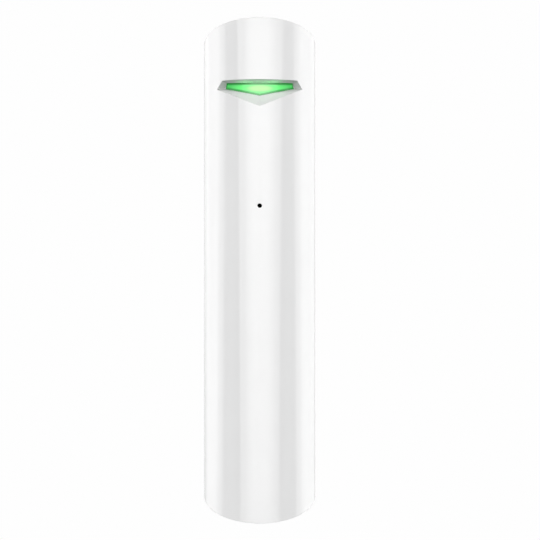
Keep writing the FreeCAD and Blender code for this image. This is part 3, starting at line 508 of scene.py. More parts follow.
def area_lamp(name: str, width: float, length: float, brightness: float) -> Object:
    """Make a rectangular lamp that the camera doesn't see.

    Args:
        name: Its name.
        width: Its width in millimetres.
        length: Its length in millimetres.
        brightness: Its brightness, where 1 would show as white.

    Returns:
        The lamp's object, at the origin.
    """
    lamp = bpy.data.lights.new(name, "AREA")
    lamp.shape = "RECTANGLE"
    lamp.size = width * MM
    lamp.size_y = length * MM
    lamp.energy = math.pi * lamp.size * lamp.size_y * brightness
    holder = placed(name, lamp)
    holder.visible_camera = False
    return holder


@dataclass(frozen=True)
class SoftBox:
    """One rectangular lamp aimed at the bar's axis; its azimuth goes from the camera towards the right."""

    name: str
    azimuth: float
    height: float
    reach: float
    width: float
    length: float
    brightness: float

    def hang(self) -> None:
        """Make the lamp and aim it."""
        holder = area_lamp(self.name, self.width, self.length, self.brightness)
        turn = math.radians(self.azimuth)
        axis = Vector((0.0, -AXIS * MM, 0.0))
        holder.location = axis + Vector((math.sin(turn), -math.cos(turn), 0.0)) * self.reach * MM
        holder.location.z = self.height * MM
        holder.rotation_euler = (axis - holder.location).to_track_quat("-Z", "Y").to_euler()


@dataclass(frozen=True)
class GuideBeam:
    """The part of the indicator's light that leaves the guide upwards, on to the ceiling of the recess."""

    height: float = 32.2
    depth: float = 19.15
    width: float = 6.8
    length: float = 0.5
    brightness: float = 5.6
    colour: str = "#6CFF88"

    def hang(self) -> None:
        """Make the lamp; the gloss doesn't mirror it and the ceiling doesn't pass it on."""
        holder = area_lamp("guide_beam", self.width, self.length, self.brightness)
        holder.data.color = linear(self.colour)[:3]
        holder.data.cycles.max_bounces = 0
        holder.location = (0.0, -self.depth * MM, self.height * MM)
        holder.rotation_euler = (math.radians(180), 0.0, 0.0)
        holder.visible_glossy = False


class Stop(NamedTuple):
    """Where a strip has a given brightness, as azimuths and brightnesses at its foot and its head."""

    foot_azimuth: float
    head_azimuth: float
    foot_brightness: float
    head_brightness: float


@dataclass(frozen=True)
class GlowStrip:
    """A low curved light card round the part, whose brightness runs evenly from stop to stop."""

    name: str
    stops: tuple[Stop, ...]
    reach: float = 2500.0
    foot: float = -185.0
    head: float = 185.0
    step: float = 1.5
    rows: int = 8
    bow: float = 1.0

    def hang(self) -> None:
        """Make the card and hide it from the camera."""
        build = bmesh.new()
        glow = build.verts.layers.float.new("glow")
        columns = []
        for first, last in zip(self.stops, self.stops[1:]):
            count = max(1, round(abs(last.foot_azimuth - first.foot_azimuth) / self.step))
            for index in range(count + (last is self.stops[-1])):
                share = index / count
                feet, heads, dim, bright = (start + share * (end - start) for start, end in zip(first, last))
                column = []
                for row in range(self.rows + 1):
                    up = row / self.rows
                    turn = math.radians(feet + (heads - feet) * up ** self.bow)
                    vertex = build.verts.new(Vector((
                        math.sin(turn) * self.reach, -AXIS - math.cos(turn) * self.reach,
                        self.foot + up * (self.head - self.foot))) * MM)
                    vertex[glow] = dim + up * (bright - dim)
                    column.append(vertex)
                columns.append(column)
        for left, right in zip(columns, columns[1:]):
            for row in range(self.rows):
                build.faces.new((left[row], right[row], right[row + 1], left[row + 1]))
        card = meshed(self.name, build)
        material = bpy.data.materials.new(self.name)
        add = emptied(material)
        level = add("Attribute", attribute_name="glow")
        lamp = add("Emission", {"Strength": level.outputs["Fac"]})
        add("OutputMaterial", {"Surface": lamp})
        card.data.materials.append(material)
        card.visible_camera = False
        card.visible_shadow = False


@dataclass
class Studio:
    """Camera, lamps, pale floor and pale surroundings."""

    camera_reach: float = 1000.0
    camera_height: float = 0.045
    clip: float = 10.0
    lens: float = 371.0
    shift: float = 0.0191
    ambient: float = 0.02
    white: str = "#FEFEFE"
    floor_paint: str = "#EAEAEA"
    floor_ahead: str = "#505050"
    floor_lift: float = 0.12
    floor_level: float = -70.0
    floor_radius: float = 420.0
    floor_corners: int = 96
    floor_fade: Point = (120.0, 407.4)
    floor_turn: Point = (0.0, 40.0)

    def place_camera(self) -> None:
        """Put the camera straight in front, where the photograph was taken from."""
        camera = placed("camera", bpy.data.cameras.new("camera"))
        camera.location = (0.0, -(self.camera_reach + AXIS) * MM, self.camera_height * MM)
        camera.rotation_euler = (math.radians(90), 0.0, 0.0)
        camera.data.lens = self.lens
        camera.data.shift_x = self.shift
        camera.data.clip_start = self.clip * MM
        bpy.context.scene.camera = camera

    def surround(self) -> None:
        """Light the room evenly, and show it white to the camera, to gloss and through glass."""
        world = bpy.data.worlds.new("room")
        bpy.context.scene.world = world
        add = emptied(world)
        path = add("LightPath").outputs
        seen = add("Math", {0: path["Is Camera Ray"], 1: path["Is Glossy Ray"]}, operation="MAXIMUM")
        seen = add("Math", {0: seen, 1: path["Is Transmission Ray"]}, operation="MAXIMUM")
        room = add("Background", {"Color": linear("#FFFFFF"), "Strength": self.ambient})
        white = add("Background", {"Color": linear(self.white), "Strength": 1.0})
        mix = add("MixShader", {0: seen, 1: room, 2: white})
        add("OutputWorld", {"Surface": mix})

    def paint_floor(self) -> Material:
        """Paint the floor: pale to the camera, dull to other rays in front, and fading into the white.

        Returns:
            The floor's material.
        """
        material = bpy.data.materials.new("pale_floor")
        add = emptied(material)
        place = add("TexCoord").outputs["Object"]
        reach = add("VectorMath", {0: place}, operation="LENGTH")
        start, end = self.floor_fade
        far = add("MapRange", {
            "Value": reach, "From Min": start * MM, "From Max": end * MM}, interpolation_type="SMOOTHSTEP")
        path = add("LightPath").outputs
        seen = add("Math", {0: path["Is Camera Ray"], 1: path["Is Glossy Ray"]}, operation="MAXIMUM")
        paint = add("BsdfDiffuse", {"Color": linear(self.floor_paint)})
        start, end = self.floor_turn
        behind = add("MapRange", {
            "Value": add("SeparateXYZ", {0: place}).outputs["Y"],
            "From Min": start * MM, "From Max": end * MM}, interpolation_type="SMOOTHSTEP")
        tone = add("Mix", {
            "Factor": behind, "A": linear(self.floor_ahead), "B": linear(self.floor_paint)}, data_type="RGBA")
        dull = add("BsdfDiffuse", {"Color": tone})
        lift = add("Emission", {"Color": linear("#FFFFFF"), "Strength": self.floor_lift})
        both = add("AddShader", {0: paint, 1: lift})
        plain = add("MixShader", {0: seen, 1: dull, 2: both})
        white = add("Emission", {"Color": linear(self.white), "Strength": 1.0})
        share = add("Math", {0: far, 1: path["Is Camera Ray"]}, operation="MULTIPLY")
        mix = add("MixShader", {0: share, 1: plain, 2: white})
        add("OutputMaterial", {"Surface": mix})
        return material

    def lay_floor(self) -> None:
        """Lay a round pale floor under the part that keeps its shadow."""
        build = bmesh.new()
        bmesh.ops.create_circle(
            build, cap_ends=True, segments=self.floor_corners, radius=self.floor_radius * MM)
        for vertex in build.verts:
            vertex.co.z = self.floor_level * MM
        floor = meshed("floor", build)
        floor.data.materials.append(self.paint_floor())

    def hang_lamps(self) -> None:
        """Hang the strips that the gloss mirrors, and the soft boxes above that light the colour."""
        lamps = (
            GlowStrip("front_strip", (
                Stop(-40.6, -47.2, 2.8, 3.3), Stop(-31.0, -32.0, 2.9, 3.5), Stop(-27.0, -28.0, 3.8, 5.0),
                Stop(-19.0, -20.0, 4.5, 5.6), Stop(-14.0, -16.0, 5.0, 6.4), Stop(16.0, 18.0, 5.0, 6.4),
                Stop(22.0, 24.0, 4.4, 5.5), Stop(29.0, 31.0, 3.8, 4.8), Stop(32.0, 34.0, 3.1, 3.7),
                Stop(40.8, 49.0, 2.9, 3.3)), bow=1.5),
            GlowStrip("left_strip", (
                Stop(-156.0, -156.0, 0.6, 1.5), Stop(-148.0, -148.0, 1.3, 2.0),
                Stop(-140.0, -140.0, 2.0, 2.5), Stop(-124.0, -124.0, 3.0, 2.8),
                Stop(-112.0, -112.0, 3.7, 3.5), Stop(-104.8, -92.3, 4.3, 4.3),
                Stop(-103.3, -90.8, 3.0, 3.2), Stop(-86.2, -75.6, 2.6, 2.8)), bow=0.7),
            GlowStrip("right_strip", (
                Stop(83.6, 74.0, 2.6, 2.8), Stop(99.5, 87.5, 3.0, 3.2), Stop(101.0, 89.0, 4.2, 4.3),
                Stop(112.0, 112.0, 3.9, 3.7), Stop(124.0, 124.0, 3.1, 2.9), Stop(140.0, 140.0, 2.2, 2.3),
                Stop(156.0, 156.0, 1.4, 1.5))),
            SoftBox("front_fill", 0.0, 850.0, 2000.0, 3300.0, 310.0, 5.9),
            SoftBox("top_fill", 0.0, 1880.0, 1500.0, 1500.0, 500.0, 6.8),
            SoftBox("left_fill", -95.0, 440.0, 2000.0, 2000.0, 220.0, 13.4),
            SoftBox("right_fill", 95.0, 440.0, 2000.0, 2000.0, 220.0, 12.5),
            SoftBox("back_fill", 180.0, 850.0, 2000.0, 3300.0, 310.0, 7.5),
            GuideBeam(),
        )
        for lamp in lamps:
            lamp.hang()

    def build(self) -> None:
        """Set up everything round the object."""
        self.place_camera()
        self.surround()
        self.lay_floor()
        self.hang_lamps()
        bpy.context.scene.view_settings.view_transform = "Standard"


# Solids in millimetres


def solid(name: str, build: BMesh) -> Object:
    """Turn a closed mesh's faces outwards, and put it in the scene as meshed does."""
    bmesh.ops.recalc_face_normals(build, faces=build.faces[:])
    return meshed(name, build)


def prism(name: str, outline: Sequence[Point], low: float, high: float, upright: bool = True) -> Object:
    """Raise a closed outline into a solid.

    Args:
        name: Name of the object.
        outline: Corners as X and Y, or as X and Z where the solid isn't upright.
        low: Where it starts along Z, or along Y.
        high: Where it ends.
        upright: True to raise along Z, False to raise along Y.

    Returns:
        The solid.
    """
    build = bmesh.new()
    lower, upper = ([build.verts.new((a, b, level) if upright else (a, level, b)) for a, b in outline]
                    for level in (low, high))
    build.faces.new(lower)
    build.faces.new(upper)
    count = len(outline)
    for index in range(count):
        after = (index + 1) % count
        build.faces.new((lower[index], lower[after], upper[after], upper[index]))
    return solid(name, build)


def block(name: str, across: Point, depth: Point, height: Point) -> Object:
    """Make a box from its lower and upper limits on X, Y and Z."""
    (x0, x1), (y0, y1) = across, depth
    return prism(name, ((x0, y0), (x1, y0), (x1, y1), (x0, y1)), *height)


def circle(centre: Point, radius: float, count: int, first: float = 0.0, sweep: float = 360.0) -> list[Point]:
    """Lay out points along a circle or an arc.

    Args:
        centre: Middle of the circle.
        radius: Its radius.
        count: Number of points.
        first: Angle of the first point in degrees.
        sweep: Angle to go through; a full turn leaves out the repeated last point.

    Returns:
        The points in order.
    """
    steps = count if abs(sweep) >= 360 else count - 1
    turns = [math.radians(first + sweep * index / steps) for index in range(count)]
    return [(centre[0] + radius * math.cos(turn), centre[1] + radius * math.sin(turn)) for turn in turns]


def combine(base: Object, pieces: Sequence[tuple[Cut, Object]]) -> None:
    """Cut and join solids in order, and clear the tools away.

    Args:
        base: Solid that is worked on.
        pieces: How each other solid is used, and the solid.
    """
    for how, piece in pieces:
        step = base.modifiers.new(piece.name, "BOOLEAN")
        step.operation = how.value
        step.solver = "EXACT"
        step.object = piece
    settled(base)
    for _, piece in pieces:
        bpy.data.objects.remove(piece)


def settled(piece: Object) -> Object:
    """Turn a piece's modifiers into its plain mesh.

    Args:
        piece: The piece.

    Returns:
        The same piece.
    """
    graph = bpy.context.evaluated_depsgraph_get()
    graph.update()
    mesh = bpy.data.meshes.new_from_object(piece.evaluated_get(graph), depsgraph=graph)
    piece.modifiers.clear()
    piece.data = mesh
    return piece


def flat_faces_kept(piece: Object) -> None:
    """Let each rounded edge lean on the flat faces beside it, so that these stay flat to the eye.

    Args:
        piece: The piece.
    """
    lean = piece.modifiers.new("lean", "WEIGHTED_NORMAL")
    lean.mode = "FACE_AREA"
    lean.weight = 100
    lean.keep_sharp = True
    settled(piece)


def rounded(build: BMesh, edges: Iterable[BMEdge], width: float, **settings: Any) -> list[BMFace]:
    """Round some edges in two steps.

    Args:
        build: The mesh.
        edges: The edges.
        width: Width of the rounding in millimetres.
        settings: More settings of the bevel.

    Returns:
        The new faces.
    """
    return bmesh.ops.bevel(build, geom=list(edges), offset=width, segments=2, profile=0.5, affect="EDGES",
                           clamp_overlap=True, **settings)["faces"]


def set_in_order(build: BMesh) -> None:
    """Put the faces in the order of their corners, because a bevel can leave them in any order.

    Args:
        build: The mesh; a face that was kept from before is another one after this.
    """
    build.verts.index_update()
    faces = sorted(build.faces, key=lambda face: sorted(vertex.index for vertex in face.verts))
    for index, face in enumerate(faces):
        face.index = index
    build.faces.sort()


def handed_over(piece: Object, body: Body, replaces: Sequence[str] = ()) -> None:
    """Bring a finished piece to metres and tell the frame about it.

    Args:
        piece: Piece in millimetres with its material.
        body: Body it moves with.
        replaces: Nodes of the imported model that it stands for.
    """
    piece.data.transform(Matrix.Scale(MM, 4))
    piece.data.update()
    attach(piece, body.value)
    if replaces:
        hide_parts(*replaces)
    LOG.info("%s: %d faces, rides on %s", piece.name, len(piece.data.polygons), body.value)


# Rules that make what repeats or follows a form

# Points of the bar this close, in millimetres, are one
WELD = 0.0005
# How thick the body of a chip part is, as a share of its ends
WAIST = 0.94


class Rule(ABC):
    """A geometry tree with named inputs, each given with its kind of socket."""

    name: str
    inputs: dict[str, str]

    def __init__(self) -> None:
        """Make the tree, its inputs and its output, and add the rule's own nodes between them."""
        self.tree = bpy.data.node_groups.new(self.name, "GeometryNodeTree")
        self.keys = {}
        for label, kind in self.inputs.items():
            socket = self.tree.interface.new_socket(label, in_out="INPUT", socket_type=f"NodeSocket{kind}")
            self.keys[label] = socket.identifier
        self.tree.interface.new_socket("Piece", in_out="OUTPUT", socket_type="NodeSocketGeometry")
        add = functools.partial(add_node, self.tree)
        add("NodeGroupOutput", {0: self.lay_out(add, add("NodeGroupInput").outputs)})

    @abstractmethod
    def lay_out(self, add: Add, given: NodeOutputs) -> Node:
        """Add the nodes of the rule.

        Args:
            add: Adds a node to the rule's tree.
            given: Sockets of the named inputs.

        Returns:
            The node that ends the rule.
        """

    def make(self, name: str, values: dict[str, Any]) -> Object:
        """Make one piece by the rule.

        Args:
            name: Name of the object.
            values: Value of each input by its name.

        Returns:
            The piece, as a plain mesh.
        """
        piece = placed(name, bpy.data.meshes.new(name))
        step = piece.modifiers.new(self.name, "NODES")
        step.node_group = self.tree
        for label, value in values.items():
            step[self.keys[label]] = value
        return settled(piece)


class SlantEndedBar(Rule):
    """A half round with straight sides, cut at a slant at both ends."""

    name = "slant_ended_bar"
    inputs = {
        "Radius": "Float", "Axis from wall": "Float", "Rear from wall": "Float", "Front from wall": "Float",
        "Half length at front": "Float", "Slope of ends": "Float", "Columns": "Int", "Finish": "Material"}

    def lay_out(self, add: Add, given: NodeOutputs) -> Node:
        """Draw the section as an arc with two straight sides, raise it and slant its ends.

        Args:
            add: Adds a node to the rule's tree.
            given: Sockets of the named inputs.

        Returns:
            The node that ends the rule.
        """
        arc = add("GeometryNodeCurveArc", {
            "Resolution": given["Columns"], "Radius": given["Radius"],
            "Start Angle": math.pi, "Sweep Angle": math.pi}, mode="RADIUS")
        wire = add("GeometryNodeCurveToMesh", {"Curve": arc})
        neighbours = add("GeometryNodeInputMeshVertexNeighbors").outputs["Vertex Count"]
        # A point inside the arc has two neighbours, and a point at its end has one
        ends = add("Math", {0: neighbours, 1: 1.5}, operation="LESS_THAN")
        side = add("Math", {0: given["Axis from wall"], 1: given["Rear from wall"]}, operation="SUBTRACT")
        straight = add("CombineXYZ", {"Y": side})
        sides = add("GeometryNodeExtrudeMesh", {
            "Mesh": wire, "Selection": ends, "Offset": straight, "Offset Scale": 1.0}, mode="VERTICES")
        loop = add("GeometryNodeMeshToCurve", {"Mesh": sides})
        closed = add("GeometryNodeSetSplineCyclic", {"Geometry": loop, "Cyclic": True})
        section = add("GeometryNodeFillCurve", {"Curve": closed}, mode="NGONS")
        raised = add("GeometryNodeExtrudeMesh", {
            "Mesh": section, "Offset": (0.0, 0.0, 1.0), "Offset Scale": 1.0, "Individual": False},
            mode="FACES")
        under = add("GeometryNodeFlipFaces", {"Mesh": section})
        joined = add("GeometryNodeJoinGeometry", {0: raised})
        feed(joined, {0: under})
        merged = add("GeometryNodeMergeByDistance", {"Geometry": joined, "Distance": WELD})
        parts = add("SeparateXYZ", {0: add("GeometryNodeInputPosition")}).outputs
        depth = add("Math", {0: parts["Y"], 1: given["Axis from wall"]}, operation="SUBTRACT")
        back = add("Math", {0: given["Front from wall"], 1: depth}, operation="ADD")
        fall = add("Math", {0: given["Slope of ends"], 1: back}, operation="MULTIPLY")
        reach = add("Math", {0: given["Half length at front"], 1: fall}, operation="SUBTRACT")
        sense = add("Math", {0: parts["Z"], 1: 2.0, 2: -1.0}, operation="MULTIPLY_ADD")
        height = add("Math", {0: reach, 1: sense}, operation="MULTIPLY")
        moved = add("CombineXYZ", {"X": parts["X"], "Y": depth, "Z": height})
        slanted = add("GeometryNodeSetPosition", {"Geometry": merged, "Position": moved})
        real = add("GeometryNodeRealizeInstances", {"Geometry": slanted})
        return add("GeometryNodeSetMaterial", {"Geometry": real, "Material": given["Finish"]})


class ChipRow(Rule):
    """A row of chip parts, each a body between two tinned ends."""

    name = "chip_row"
    inputs = {
        "Count": "Int", "Pitch": "Float", "Size": "Vector", "Cap": "Float", "Place": "Vector",
        "Body finish": "Material", "Cap finish": "Material"}

    def lay_out(self, add: Add, given: NodeOutputs) -> Node:
        """Make one part of three boxes and set it along a line about its place.

        Args:
            add: Adds a node to the rule's tree.
            given: Sockets of the named inputs.

        Returns:
            The node that ends the rule.
        """
        size = add("SeparateXYZ", {0: given["Size"]}).outputs
        bare = add("Math", {0: given["Cap"], 1: -2.0, 2: size["X"]}, operation="MULTIPLY_ADD")
        inner = add("CombineXYZ", {"X": bare, "Y": size["Y"], "Z": size["Z"]})
        inner = add("VectorMath", {0: inner, 1: (1.0, WAIST, WAIST)}, operation="MULTIPLY")
        body = add("GeometryNodeMeshCube", {"Size": inner})
        painted = add("GeometryNodeSetMaterial", {"Geometry": body, "Material": given["Body finish"]})
        chip = add("GeometryNodeJoinGeometry", {0: painted})
        outer = add("CombineXYZ", {"X": given["Cap"], "Y": size["Y"], "Z": size["Z"]})
        apart = add("Math", {0: size["X"], 1: given["Cap"]}, operation="SUBTRACT")
        for side in (-0.5, 0.5):
            end = add("GeometryNodeMeshCube", {"Size": outer})
            aside = add("Math", {0: apart, 1: side}, operation="MULTIPLY")
            shift = add("CombineXYZ", {"X": aside})
            moved = add("GeometryNodeTransform", {"Geometry": end, "Translation": shift})
            tinned = add("GeometryNodeSetMaterial", {"Geometry": moved, "Material": given["Cap finish"]})
            feed(chip, {0: tinned})
        step = add("CombineXYZ", {"X": given["Pitch"]})
        steps = add("Math", {0: given["Count"], 1: 1.0}, operation="SUBTRACT")
        length = add("VectorMath", {0: step, "Scale": steps}, operation="SCALE")
        start = add("VectorMath", {
            0: length, 1: (-0.5, 0.0, 0.0), 2: given["Place"]}, operation="MULTIPLY_ADD")
        line = add("GeometryNodeMeshLine", {
            "Count": given["Count"], "Start Location": start, "Offset": step}, mode="OFFSET")
        spread = add("GeometryNodeInstanceOnPoints", {"Points": line, "Instance": chip})
        return add("GeometryNodeRealizeInstances", {"Geometry": spread})


# Sub-assemblies


@functools.cache
def material_of(finish: Finish) -> Material:
    """Make a finish's material once, and give the same one after that."""
    return finish.build()


def dress(finishes: dict[str, Finish]) -> None:
    """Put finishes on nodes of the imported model.

    Args:
        finishes: Finish by the node's name.
    """
    for name, finish in finishes.items():
        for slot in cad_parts[name].material_slots:
            slot.material = material_of(finish)
        LOG.info("%s: %s", name, finish.name)


class SubAssembly(ABC):
    """Pieces of the sensor that are made and dressed together."""

    @abstractmethod
    def build(self) -> None:
        """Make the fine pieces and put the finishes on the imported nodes."""


@dataclass
class FrontShell(SubAssembly):
    """The polished front: a half round with slanted ends, a pointed recess and a sound hole."""

    radius: float = 10.0
    inner: float = 8.7
    axis: float = AXIS
    front: float = 21.0
    rim: float = 0.3
    half: float = 45.083
    slope: float = 0.4536
    end_wall: float = 1.4275
    columns: int = 121
    lens_radius: float = 8.0
    lens_top: float = 33.2
    lens_top_half: float = 5.85
    lens_corner: Point = (6.05, 32.4)
    lens_foot: float = 31.15
    lens_play: float = 0.04
    lens_gap: float = 0.24
    recess_top: float = 34.0
    recess_arch: float = 0.18
    recess_corner: float = 6.68
    recess_tip: Point = (7.63, 32.24)
    recess_foot: float = 29.2
    recess_past: float = 8.0
    recess_columns: int = 76
    frame_radius: float = 7.0
    frame_half: float = 6.9
    frame_rear: float = 13.4
    frame_root: float = 9.35
    frame_over: float = 1.0
    frame_columns: tuple[int, int] = (49, 61)
    hole_level: float = 11.5
    hole_radius: float = 0.4
    hole_columns: int = 48
    ledge_across: Point = (8.2, 9.35)
    ledge_depth: Point = (-3.3, -2.4)
    ledge_height: Point = (-20.0, 26.0)
    pocket_across: Point = (7.7, 9.35)
    pocket_depth: Point = (-6.75, -5.05)
    pocket_levels: Point = (-24.0, 30.0)
    pocket_half: float = 2.15
    overcut: float = 1.0
    weld: float = 0.0004
    off_skin: float = 0.004
    on_normal: float = 0.995
    end_round: float = 0.1
    recess_round: float = 0.07
    hole_round: float = 0.03
    end_from: float = 35.0
    end_steep: float = 0.7
    near_hole: float = 0.6
    near_recess: float = 0.1
    creased: float = 11.0
    creased_round: float = 50.0

    def blank(self, rule: Rule, name: str, radius: float, rear: float, half: float) -> Object:
        """Make one bar.

        Args:
            rule: The bar's rule.
            name: Name of the object.
            radius: Radius of its round.
            rear: How far its rear is from the wall.
            half: Half of its length at its front.

        Returns:
            The bar.
        """
        return rule.make(name, {
            "Radius": radius, "Axis from wall": self.axis, "Rear from wall": rear,
            "Front from wall": self.front, "Half length at front": half, "Slope of ends": self.slope,
            "Columns": self.columns, "Finish": material_of(HOUSING_ABS)})

    def on_round(self, radius: float, across: float, height: float) -> Vector:
        """Find a point on a round surface about the cell's axis from where it looks from the front."""
        return Vector((across, -self.axis - math.sqrt(radius ** 2 - across ** 2), height))

    def recess(self) -> Object:
        """Make the space of the recess: ceiling, two side facets and a floor folded along the middle.

        Returns:
            The solid to take out.
        """
        widest = math.asin(self.recess_tip[0] / self.radius) + math.radians(self.recess_past)
        outside = self.radius + self.overcut
        depth = self.radius - self.lens_radius
        over = outside - self.lens_radius
        build = bmesh.new()
        rings = []
        for index in range(self.recess_columns + 1):
            angle = widest * (2 * index / self.recess_columns - 1)
            lift = abs(math.sin(angle))
            deep = self.lens_foot + (self.lens_corner[1] - self.lens_foot) * (
                self.lens_radius * lift / self.lens_corner[0])
            skin = self.recess_foot + (self.recess_tip[1] - self.recess_foot) * (
                self.radius * lift / self.recess_tip[0])
            slope = (skin - deep) / depth
            sag = self.recess_arch * (self.radius * lift / self.recess_corner) ** 2
            rise = (self.recess_top - self.lens_top) / depth - sag / depth
            ring = ((self.lens_radius, deep), (outside, deep + slope * over),
                    (outside, self.lens_top + rise * over), (self.lens_radius, self.lens_top))
            rings.append([build.verts.new((r * math.sin(angle), -self.axis - r * math.cos(angle), z))
                          for r, z in ring])
        for left, right in zip(rings, rings[1:]):
            for index in range(len(left)):
                after = (index + 1) % len(left)
                build.faces.new((left[index], right[index], right[after], left[after]))
        build.faces.new(rings[0])
        build.faces.new(rings[-1])
        for side in (-1, 1):
            corner = self.on_round(self.radius, side * self.recess_corner, self.recess_top - self.recess_arch)
            deep = self.on_round(self.lens_radius, side * self.lens_top_half, self.lens_top)
            tip = self.on_round(self.radius, side * self.recess_tip[0], self.recess_tip[1])
            normal = (deep - corner).cross(tip - corner).normalized()
            if normal.x * side < 0:
                normal = -normal
            cut = bmesh.ops.bisect_plane(build, geom=build.verts[:] + build.edges[:] + build.faces[:],
                                         plane_co=corner, plane_no=normal, clear_outer=True)
            rim = [item for item in cut["geom_cut"] if isinstance(item, BMEdge)]
            bmesh.ops.contextual_create(build, geom=rim)
        return solid("recess_space", build)

    def through(self, name: str, outline: Sequence[Point]) -> Object:
        """Raise an outline forwards from the cell's axis to past the front."""
        return prism(name, outline, -self.front - self.overcut, -self.axis, upright=False)

    def lens_opening(self) -> Object:
        """Make the opening that the lens comes through.

        Returns:
            The solid to take out.
        """
        wide, top = self.lens_top_half + self.lens_play, self.lens_top + self.lens_gap
        side, low = self.lens_corner[0] + self.lens_play, self.lens_corner[1] - self.lens_play
        outline = (
            (0.0, self.lens_foot - self.lens_play), (side, low), (wide, top), (-wide, top), (-side, low))
        return self.through("lens_opening", outline)

    def lens_frame(self) -> Object:
        """Make the frame behind the lens, which the guide's flange bears on.

        Returns:
            The solid to add.
        """
        outer = math.degrees(math.asin(self.frame_half / self.frame_root))
        lower = math.degrees(math.acos((self.frame_rear - self.axis) / self.frame_radius))
        centre, forward = (0.0, -self.axis), 270
        outline = [
            *circle(centre, self.frame_root, self.frame_columns[0], forward - outer, 2 * outer),
            (self.frame_half, -self.frame_rear),
            *circle(centre, self.frame_radius, self.frame_columns[1], forward + lower, -2 * lower),
            (-self.frame_half, -self.frame_rear)]
        foot, head = self.recess_foot - self.frame_over, self.recess_top + self.frame_over
        return prism("lens_frame", outline, foot, head)

    def inner_parts(self) -> list[tuple[Cut, Object]]:
        """Make the ledges, the snap pockets, the sound hole and the rest of the inside.

        Returns:
            Each solid and how it is used, in order.
        """
        parts = [(Cut.ADD, self.lens_frame())]
        for side in (-1, 1):
            across = tuple(sorted(side * reach for reach in self.ledge_across))
            parts.append((Cut.ADD, block(f"ledge{side}", across, self.ledge_depth, self.ledge_height)))
        hole = circle((0.0, self.hole_level), self.hole_radius, self.hole_columns)
        parts += [(Cut.TAKE, self.recess()), (Cut.TAKE, self.lens_opening()),
                  (Cut.TAKE, self.through("sound_hole", hole))]
        for side in (-1, 1):
            across = tuple(sorted(side * reach for reach in self.pocket_across))
            for level in self.pocket_levels:
                height = (level - self.pocket_half, level + self.pocket_half)
                pocket = block(f"pocket{side}_{level:.0f}", across, self.pocket_depth, height)
                parts.append((Cut.TAKE, pocket))
        return parts

    def off_round(self, place: Vector) -> float:
        """Measure how far a place is from the outer round or its straight sides.

        Args:
            place: The place in millimetres.

        Returns:
            The distance.
        """
        if place.y > -self.axis:
            return abs(abs(place.x) - self.radius)
        return abs(math.hypot(place.x, place.y + self.axis) - self.radius)

    def outward(self, place: Vector) -> Vector:
        """Find the outer skin's true normal.

        Args:
            place: A place on the skin.

        Returns:
            The normal, of unit length.
        """
        if place.y > -self.axis:
            return Vector((math.copysign(1.0, place.x), 0.0, 0.0))
        return Vector((place.x, place.y + self.axis, 0.0)).normalized()

    def on_skin(self, face: BMFace) -> bool:
        """Tell whether a face is part of the outer skin."""
        return (all(self.off_round(vertex.co) < self.off_skin for vertex in face.verts)
                and self.outward(face.calc_center_median()).dot(face.normal) > self.on_normal)

    def round_edges(self, build: BMesh) -> set[BMFace]:
        """Round the skin's edges at the ends, the recess and the hole.

        Args:
            build: The shell's mesh in millimetres.

        Returns:
            The new faces.
        """
        ends, rims, holes = [], [], []
        for edge in build.edges:
            skins = [self.on_skin(face) for face in edge.link_faces]
            if len(skins) != 2 or skins[0] == skins[1]:
                continue
            other = edge.link_faces[skins.index(False)]
            middle = (edge.verts[0].co + edge.verts[1].co) / 2
            foot, head = self.recess_foot - self.near_recess, self.recess_top + self.near_recess
            if abs(other.normal.z) > self.end_steep and abs(middle.z) > self.end_from:
                ends.append(edge)
            elif middle.y >= -self.axis:
                continue
            elif math.hypot(middle.x, middle.z - self.hole_level) < self.near_hole:
                holes.append(edge)
            elif foot < middle.z < head:
                rims.append(edge)
        made = set()
        for edges, width in ((ends, self.end_round), (rims, self.recess_round), (holes, self.hole_round)):
            made.update(rounded(build, (edge for edge in edges if edge.is_valid), width))
        return made

    def soften(self, shell: Object) -> None:
        """Round the shell's edges and give its skin the true normals.

        Args:
            shell: The shell in millimetres.
        """
        build = bmesh.new()
        build.from_mesh(shell.data)
        bmesh.ops.remove_doubles(build, verts=build.verts[:], dist=self.weld)
        bmesh.ops.dissolve_degenerate(build, edges=build.edges[:], dist=self.weld)
        build.normal_update()
        made = self.round_edges(build)
        build.normal_update()
        for edge in build.edges:
            faces = edge.link_faces
            if len(faces) == 2:
                limit = math.radians(self.creased_round if made.intersection(faces) else self.creased)
                edge.smooth = faces[0].normal.angle(faces[1].normal, 0.0) < limit
        set_in_order(build)
        skin = [self.on_skin(face) for face in build.faces]
        for face in build.faces:
            face.smooth = True
        build.to_mesh(shell.data)
        build.free()
        flat_faces_kept(shell)
        mesh = shell.data
        normals = [corner.vector.copy() for corner in mesh.corner_normals]
        for polygon, outer in zip(mesh.polygons, skin):
            if outer:
                for loop in polygon.loop_indices:
                    normals[loop] = self.outward(mesh.vertices[mesh.loops[loop].vertex_index].co)
        mesh.normals_split_custom_set(normals)

    def build(self) -> None:
        """Make the whole front in polished plastic."""
        rule = SlantEndedBar()
        shell = self.blank(rule, "front_shell", self.radius, self.rim, self.half)
        hollow = self.blank(rule, "shell_hollow", self.inner, -self.overcut, self.half - self.end_wall)
        combine(shell, [(Cut.TAKE, hollow), *self.inner_parts()])
        self.soften(shell)
        handed_over(shell, Body.DETECTOR, ["front_housing"])


@dataclass
class Indicator(SubAssembly):
    """The light on the board and the guide that brings it to the recess."""

    def build(self) -> None:
        """Dress the guide and the light."""
        dress({"light_guide": GUIDE_ACRYLIC, "indicator_led": LIGHT_CASE})


